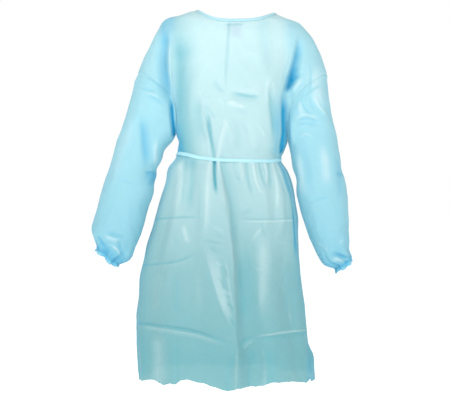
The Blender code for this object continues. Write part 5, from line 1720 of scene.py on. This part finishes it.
# %% Binding
# The section goes up the outer leg, over the edge in three turns, and down the inner leg.
STRIP = 0.0005
BINDING_WAVES = 0.0003
# Painted highlight along the fold over the edge, painted shade at the outer leg's lower edge and on the
# inner leg.
BINDING_SHADE_AND_HIGHLIGHT = [0.10, 0.05, 0.0, 0.0, 0.0, -0.12, -0.15, -0.15, 0.05] + [0.1] * BINDING_LINES
lines = range(BINDING_LINES)
section = [stations[:, k] + leans[:, k] * BINDING_OUT for k in reversed(lines)]
for turn in np.radians([45, 90, 135]):
    arch = leans[:, 0] * math.cos(turn) + upward * math.sin(turn)
    section.append(stations[:, 0] + arch * BINDING_OUT)
section += [stations[:, k] - leans[:, k] * BINDING_OUT for k in lines]
strip = np.array(section)
strip_normals = grid_normals(strip)
strip_normals *= np.sign((strip_normals[0] * leans[:, -1]).sum(-1).mean())
strip = strip + strip_normals * (uneven(strip, 0.012, 21.0) * BINDING_WAVES)[..., None]
strip_marks = {"deep": np.repeat(np.array(BINDING_SHADE_AND_HIGHLIGHT)[:, None], strip.shape[1], axis=1)}
binding = build_shell("neck_binding_strip", strip, strip_normals, STRIP, marks=strip_marks)
dress(binding, strip_cloth, "neck_binding")


# %% Stitches through the binding
# A stitch is a short half round, thin at both ends: shares of its length, width and height.
STITCH_FORM = ((-0.5, 0.35, 0.2), (-0.3, 0.9, 0.8), (0.0, 1.0, 1.0), (0.3, 0.9, 0.8), (0.5, 0.35, 0.2))
STITCH_TURNS = 5
STITCH_PITCH, STITCH_LENGTH, STITCH_WIDTH = 0.0040, 0.0028, 0.0008
STITCH_LIFT = 0.0001


def stitch_row(name, line, normals):
    """A row of short rounded stitches along a line on the cloth."""
    lengths = run_lengths(line)
    vertices, faces = [], []
    for n in range(int(lengths[-1] / STITCH_PITCH)):
        base = len(vertices)
        for share, wide, high in STITCH_FORM:
            at = (n + 0.5) * STITCH_PITCH + share * STITCH_LENGTH
            centre, ahead = pick_at([at, at + 0.0005], lengths, line)
            up = unit(pick_at([at], lengths, normals)[0])
            cross = unit(np.cross(unit(ahead - centre), up))
            for turn in np.linspace(0, math.pi, STITCH_TURNS):
                vertices.append(centre + cross * math.cos(turn) * STITCH_WIDTH / 2 * wide
                                + up * math.sin(turn) * STITCH_WIDTH / 2 * high)
        for ring in range(len(STITCH_FORM) - 1):
            for turn in range(STITCH_TURNS - 1):
                a = base + ring * STITCH_TURNS + turn
                faces.append((a, a + STITCH_TURNS, a + STITCH_TURNS + 1, a + 1))
    mesh = bpy.data.meshes.new(name)
    mesh.from_pydata([tuple(v) for v in vertices], [], faces)
    mesh.shade_smooth()
    piece = bpy.data.objects.new(name, mesh)
    bpy.context.scene.collection.objects.link(piece)
    return piece


seam_line = stations[:, 4] + leans[:, 4] * (BINDING_OUT + STRIP / 2 + STITCH_LIFT)
neck_stitches = stitch_row("neck_stitches", seam_line, leans[:, 4])
neck_stitches.data.materials.append(thread)
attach(neck_stitches, "root")
print("neck stitches:", len(neck_stitches.data.polygons) // 16)

# %% [markdown]
# ## Belt
#
# The belt is a flat folded strip that runs round the waist on top of the cloth and ties behind.
# A curve with a flat bevel could be bent round the waist. Taken from the body's own section at the
# waist instead, it lies on the cloth all round, over the step where the backs cross too.

# %% Belt
BELT_OUT, BELT_ARCH = 0.0017, 0.0006
BELT_HALF_WIDTH = 0.0052
BELT_LINES = np.linspace(1, -1, 7)
angles = np.arange(0.0, 360.0, 1.0)
turned = (angles + 180) % 360 - 180
belt_line = body_point(turned, np.full(angles.shape, WAIST))
sway = 0.0007 * np.sin(np.radians(angles * 5)) + 0.0004 * np.sin(np.radians(angles * 13))
belt_rows = []
for place in BELT_LINES:
    ring = body_point(turned, WAIST + belt_drop(belt_line) + place * BELT_HALF_WIDTH + sway)
    ring[:, 1] += np.where(ring[:, 1] > 0, overlap_rise(ring[:, 0], ring[:, 2], RIGHT), 0.0)
    ring[:, 0] -= waist_tuck(ring)
    belt_rows.append(ring)
belt_points = np.array(belt_rows)
belt_normals = grid_normals(belt_points, wraps=True)
belt_normals *= -np.sign(belt_normals[len(BELT_LINES) // 2, 0, 1])
curl = np.abs(BELT_LINES)[:, None] ** 3
lift = BELT_OUT + BELT_ARCH * (1 - curl) + 0.0003 * uneven(belt_points, 0.02, 5.0)
belt_points = belt_points + belt_normals * lift[..., None]
# The belt's curled edges get painted shade, over tone that differs at random.
belt_marks = {"deep": 0.10 * curl + 0.06 * uneven(belt_points, 0.03, 9.0)}
belt = build_shell("belt_strip", belt_points, belt_normals, STRIP, wraps=True, marks=belt_marks)
dress(belt, strip_cloth, "belt")

# %% [markdown]
# ## Elastic cuffs
#
# The sleeve's end is folded over a band of elastic, which draws it into small pleats. A torus with
# noise would give a soft bag. Here the pleats of the sleeve's last ring are carried on instead. The
# casing is drawn in at the band, and once more towards its uneven rim.

# %% Cuffs
CUFF_ROWS = 22
CASING = 0.0005
BAND_DRAWN_IN, RIM_DRAWN_IN, RIM_UNEVEN = 0.07, 0.10, 0.05
PLEAT_GROWTH, CASING_START = 0.0007, 0.0009
RIM_SWAY, RIM_SHIFT = 0.0016, 0.005


def bell(share, middle, reach):
    """1 at the middle and nearly 0 beyond twice the reach."""
    return math.exp(-(((share - middle) / reach) ** 2))


cuffs = {}
for side in (RIGHT, LEFT):
    last = creased_sleeves[side][-1]
    middle = last.mean(axis=0)
    plain = sleeves[side][-1] - sleeves[side][-1].mean(axis=0)
    onward = unit(np.cross(plain[0], plain[len(plain) // 4])) * side
    phase = np.linspace(0, 2 * math.pi, len(last), endpoint=False)
    pleats = cuff_pleats(phase)
    bumps = np.cos(3 * phase + 0.7 + side) + 0.6 * np.cos(5 * phase + 2.0)
    rings, marks = [], []
    for share in np.linspace(0, 1, CUFF_ROWS):
        size = 1 - BAND_DRAWN_IN * bell(share, 0.30, 0.18) - RIM_DRAWN_IN * share
        size = (size + RIM_UNEVEN * bumps * share)[:, None]
        growth = PLEAT_GROWTH * (pleats - 0.4) * (0.25 + share)
        ring = middle + (last - middle) * size + unit(last - middle) * growth[:, None]
        ring += onward * (CASING_START + (CUFF_LENGTH + RIM_SWAY * bumps) * share)[:, None]
        ring[:, 0] -= side * RIM_SHIFT * share
        rings.append(ring)
        # Painted shade at the band and in the pleats' valleys, fading to painted highlight towards the
        # rim.
        marks.append(0.35 * bell(share, 0.22, 0.12) + 0.10 * (1 - pleats) - 0.12 * share)
    rings, marks = np.array(rings), {"deep": np.array(marks)}
    normals = grid_normals(rings, wraps=True) * -side
    name = f"cuff_{side_name(side)}"
    cuffs[side] = build_shell(f"{name}_casing", rings, normals, CASING, wraps=True, marks=marks)
    dress(cuffs[side], cuff_cloth, name)

# %% [markdown]
# ## Label
#
# A small blank label is sewn inside the neck along its top edge. It shows faintly through the
# front. A flat plane would cut through the cloth there, so the label follows the front's form a
# few millimetres behind it, nearest at the sewn edge. A tint on the front helps it to show.

# %% Label
LABEL_WIDTH, LABEL_HEIGHT, LABEL_TOP = 0.044, 0.040, 0.004
LABEL_COLUMNS, LABEL_ROWS = 17, 15
LABEL_THICKNESS = 0.0003
LABEL_SEWN, LABEL_HANGS, LABEL_FALL = 0.0018, 0.0028, 2.5
x = np.linspace(-LABEL_WIDTH / 2, LABEL_WIDTH / 2, LABEL_COLUMNS)
top = float(neckline(np.array(0.0), FRONT)) - BINDING_WIDTH - LABEL_TOP
x, z = np.meshgrid(x, np.linspace(top, top - LABEL_HEIGHT, LABEL_ROWS))
label_points = np.stack([x, -yoke_depth(x, z, FRONT), z], axis=-1)
label_normals = grid_normals(label_points)
label_normals *= -np.sign(label_normals[..., 1].mean())
hang = LABEL_SEWN + LABEL_HANGS * smooth(np.arange(LABEL_ROWS) / LABEL_FALL)
label_points = label_points - label_normals * hang[:, None, None]
label_edge_shade = np.zeros(label_points.shape[:2])
# The two rows at the sewn edge get painted shade.
label_edge_shade[:2] = 0.8
label = build_shell("size_label_blank", label_points, label_normals, LABEL_THICKNESS,
                    marks={"deep": label_edge_shade})
dress(label, label_cloth, "size_label")

# %% [markdown]
# ## Knots and hanging ends
#
# Behind, the belt and the binding are tied. A real knot is the strip itself wound round. A plain
# lump would show at once, so each is a flat strip on a closed looping line, a trefoil, and the
# loose ends hang below it with a soft twist.

# %% Knots
KNOT_RADII = {"waist": (0.016, 0.0085, 0.011), "neck": (0.011, 0.006, 0.0075)}
KNOT_SEATS = {"waist": 0.00235, "neck": 0.00335}
KNOT_WIDTHS, KNOT_SEEDS = {"waist": 0.0085, "neck": 0.0060}, {"waist": 3.0, "neck": 8.0}
LOOP_SHARES = (0.80, 0.62, 0.66)
LOOP_STEPS, LOOP_LINES = 180, 7


def back_surface(x, z):
    """How far back the outer back cloth is at a height, near the middle."""
    if z > CHEST:
        return float(yoke_depth(np.array(x), np.array(z), BACK)) + OVERLAP_STEP
    points = body_point(np.linspace(150, 210, 61), np.full(61, z))
    return float(points[np.abs(points[:, 0] - x).argmin(), 1]) + OVERLAP_STEP


def knot_of_strip(name, centre, radii, width, seed):
    """A closed looping strip that fills a rounded space."""
    t = np.linspace(0, 2 * math.pi, LOOP_STEPS, endpoint=False)
    loop = np.stack([(np.sin(t) + 2 * np.sin(2 * t)) / 3, -np.sin(3 * t),
                     (np.cos(t) - 2 * np.cos(2 * t)) / 3], axis=-1)
    line = loop * (np.array(radii) * LOOP_SHARES)
    along = unit(np.roll(line, -1, axis=0) - np.roll(line, 1, axis=0))
    out = unit(line / np.square(radii) + np.array([0.0, 40.0, 0.0]))
    cross = unit(np.cross(along, out))
    out = np.cross(cross, along)
    rows = [line + cross * s * width / 2 - out * (0.0012 * s * s)
            for s in np.linspace(-1, 1, LOOP_LINES)]
    points = np.array(rows) + np.array(centre)
    points += out * (0.0007 * uneven(points, 0.006, seed))[..., None]
    normals = grid_normals(points, wraps=True)
    marks = 0.25 * np.clip(-np.sin(3 * t), -0.2, 1)[None] + np.zeros(points.shape[:2])
    return build_shell(name, points, normals, STRIP, wraps=True, marks={"deep": marks})


neck_level = float(neckline(np.array(0.0), BACK)) - BINDING_WIDTH / 2
knot_centres, knots = {}, {}
for place, x, z in (("waist", float(body_middle(WAIST)), WAIST), ("neck", 0.0, neck_level)):
    radii = KNOT_RADII[place]
    knot_centres[place] = centre = (x, back_surface(x, z) + KNOT_SEATS[place] + radii[1], z)
    knots[place] = knot_of_strip(f"{place}_knot_strip", centre, radii, KNOT_WIDTHS[place],
                                 KNOT_SEEDS[place])
    dress(knots[place], strip_cloth, f"{place}_knot")
print("knots at", [tuple(round(c, 3) for c in centre) for centre in knot_centres.values()])

# %% Hanging ends
Tie = namedtuple("Tie", "name knot start_x end_x length lift swing width")
TIES = [
    Tie("waist_tie_right", "waist", -0.008, -0.036, 0.270, 0.012, 0.010, 0.013),
    Tie("waist_tie_left", "waist", 0.009, 0.044, 0.235, 0.013, -0.012, 0.013),
    Tie("neck_tie_right", "neck", -0.007, -0.026, 0.165, 0.010, 0.006, 0.009),
    Tie("neck_tie_left", "neck", 0.007, 0.029, 0.150, 0.011, -0.007, 0.009),
]
TIE_STEPS, TIE_LINES = 90, np.linspace(1, -1, 9)
TIE_BELOW_KNOT, TIE_IN_KNOT, TIE_CLEAR, TIE_SWAY = 0.0006, 0.006, 0.0015, 0.004


def tie_line(tie):
    """The middle of a hanging end, from inside its knot down along the back."""
    centre = knot_centres[tie.knot]
    start_z = centre[2] - KNOT_RADII[tie.knot][2] - TIE_BELOW_KNOT
    places = []
    for share in np.linspace(0, 1, TIE_STEPS):
        z = start_z + TIE_IN_KNOT * (1 - smooth(share / 0.04)) - tie.length * share
        x = centre[0] + tie.start_x + (tie.end_x - tie.start_x) * smooth(share * 1.2)
        x += tie.swing * math.sin(math.pi * share) * share
        y = back_surface(x, z) + TIE_CLEAR + tie.lift + TIE_SWAY * math.sin(2.2 * math.pi * share)
        ease = float(smooth(share / 0.15))
        places.append((x, centre[1] * (1 - ease) + y * ease, z))
    return np.array(places)


ties = {}
for tie in TIES:
    line = tie_line(tie)
    down = unit(np.gradient(line, axis=0))
    share = np.linspace(0, 1, TIE_STEPS)
    turn = 0.5 * np.sin(1.7 * share * np.sign(tie.start_x)) + 0.12 * np.sin(9 * share)
    cross = np.stack([np.cos(turn), np.sin(turn), 0 * turn], axis=-1)
    cross = unit(cross - (cross * down).sum(-1, keepdims=True) * down)
    half = tie.width / 2 * (0.55 + 0.45 * smooth(share / 0.10))
    points = np.stack([line + cross * (s * half)[:, None] for s in TIE_LINES], axis=1)
    folds = 0.0010 * np.cos(TIE_LINES * 4.0)[None] + 0.0008 * uneven(points, 0.018, 4.0)
    normals = grid_normals(points)
    points = points + normals * folds[..., None]
    # The edges, which bend away, get painted shade, over tone that differs at random.
    marks = {"deep": 0.12 * np.abs(TIE_LINES)[None] ** 4 + 0.06 * uneven(points, 0.03, 2.0)}
    ties[tie.name] = build_shell(f"{tie.name}_strip", points, normals, STRIP, marks=marks)
    dress(ties[tie.name], strip_cloth, tie.name)
print("hanging ends:", len(ties))

# %% [markdown]
# ## The cut
#
# Each sheet says how large its panel was cut: its flat width and length, and its area where the cut
# isn't a rectangle. The sizes are those of the panels themselves, measured along the cloth, all
# round on the tubes. Below, a row for a cut is only defined, with its piece, flat, held, area and
# extras; no rows are filled in.

# %% The kind of row for cut sizes
Cut = namedtuple("Cut", "piece flat held area extras", defaults=(None, ()))

# %% [markdown]
# ## Light and floor
#
# The gown is shown on white, in soft light from all sides. A bright world would light it evenly
# and kill every fold, so the camera sees a white world, while a dimmer one lights the cloth, with
# three large studio lights: one from the upper left, one to fill, and one from behind to glow
# through. The floor is pale and plain, and is only there for the picture.

# %% World
WORLD_LIGHT = 0.54
world = bpy.data.worlds.new("studio")
bpy.context.scene.world = world
world.use_nodes = True
studio = world.node_tree
dimmer = put(studio, "ShaderNodeBackground", Color=(1, 1, 1, 1), i1=WORLD_LIGHT)
studio.nodes["Background"].inputs["Color"].default_value = (1, 1, 1, 1)
to_camera = put(studio, "ShaderNodeLightPath").outputs["Is Camera Ray"]
mix = put(studio, "ShaderNodeMixShader", i0=to_camera, i1=dimmer.outputs["Background"],
          i2=studio.nodes["Background"].outputs["Background"])
studio.links.new(mix.outputs["Shader"], studio.nodes["World Output"].inputs["Surface"])
bpy.context.scene.view_settings.view_transform = "Standard"
print("the world lights the cloth with", WORLD_LIGHT)

# %% Studio lights
LIGHTS_AIM = (-0.03, 0, -0.6)
SoftBox = namedtuple("SoftBox", "name place size power")
SOFT_BOXES = [
    SoftBox("key", (-1.1, -1.9, 0.85), 0.9, 29.0),
    SoftBox("fill", (1.7, -2.1, 0.3), 1.6, 19.0),
    SoftBox("rear", (0.4, 2.6, 0.8), 2.0, 16.0),
]
for box in SOFT_BOXES:
    light = bpy.data.lights.new(box.name, "AREA")
    light.size, light.energy = box.size, box.power
    lamp = bpy.data.objects.new(box.name, light)
    lamp.location = box.place
    aim = Vector(LIGHTS_AIM) - Vector(box.place)
    lamp.rotation_euler = aim.to_track_quat("-Z", "Y").to_euler()
    bpy.context.scene.collection.objects.link(lamp)
print("studio lights:", len(SOFT_BOXES))

# %% Floor
FLOOR_SIZE, FLOOR_PLACE = 40, (0, 8, -1.45)
FLOOR_GREY, FLOOR_GLOW = 0.9, 0.6
bpy.ops.mesh.primitive_plane_add(size=FLOOR_SIZE, location=FLOOR_PLACE)
floor = bpy.context.object
floor.name = "floor"
floor_paint = bpy.data.materials.new("floor_paint")
floor_paint.use_nodes = True
paint = floor_paint.node_tree.nodes["Principled BSDF"].inputs
paint["Base Color"].default_value = (FLOOR_GREY, FLOOR_GREY, FLOOR_GREY, 1)
paint["Emission Color"].default_value = (1, 1, 1, 1)
paint["Emission Strength"].default_value = FLOOR_GLOW
floor.data.materials.append(floor_paint)
print("floor at", FLOOR_PLACE[2], "m")
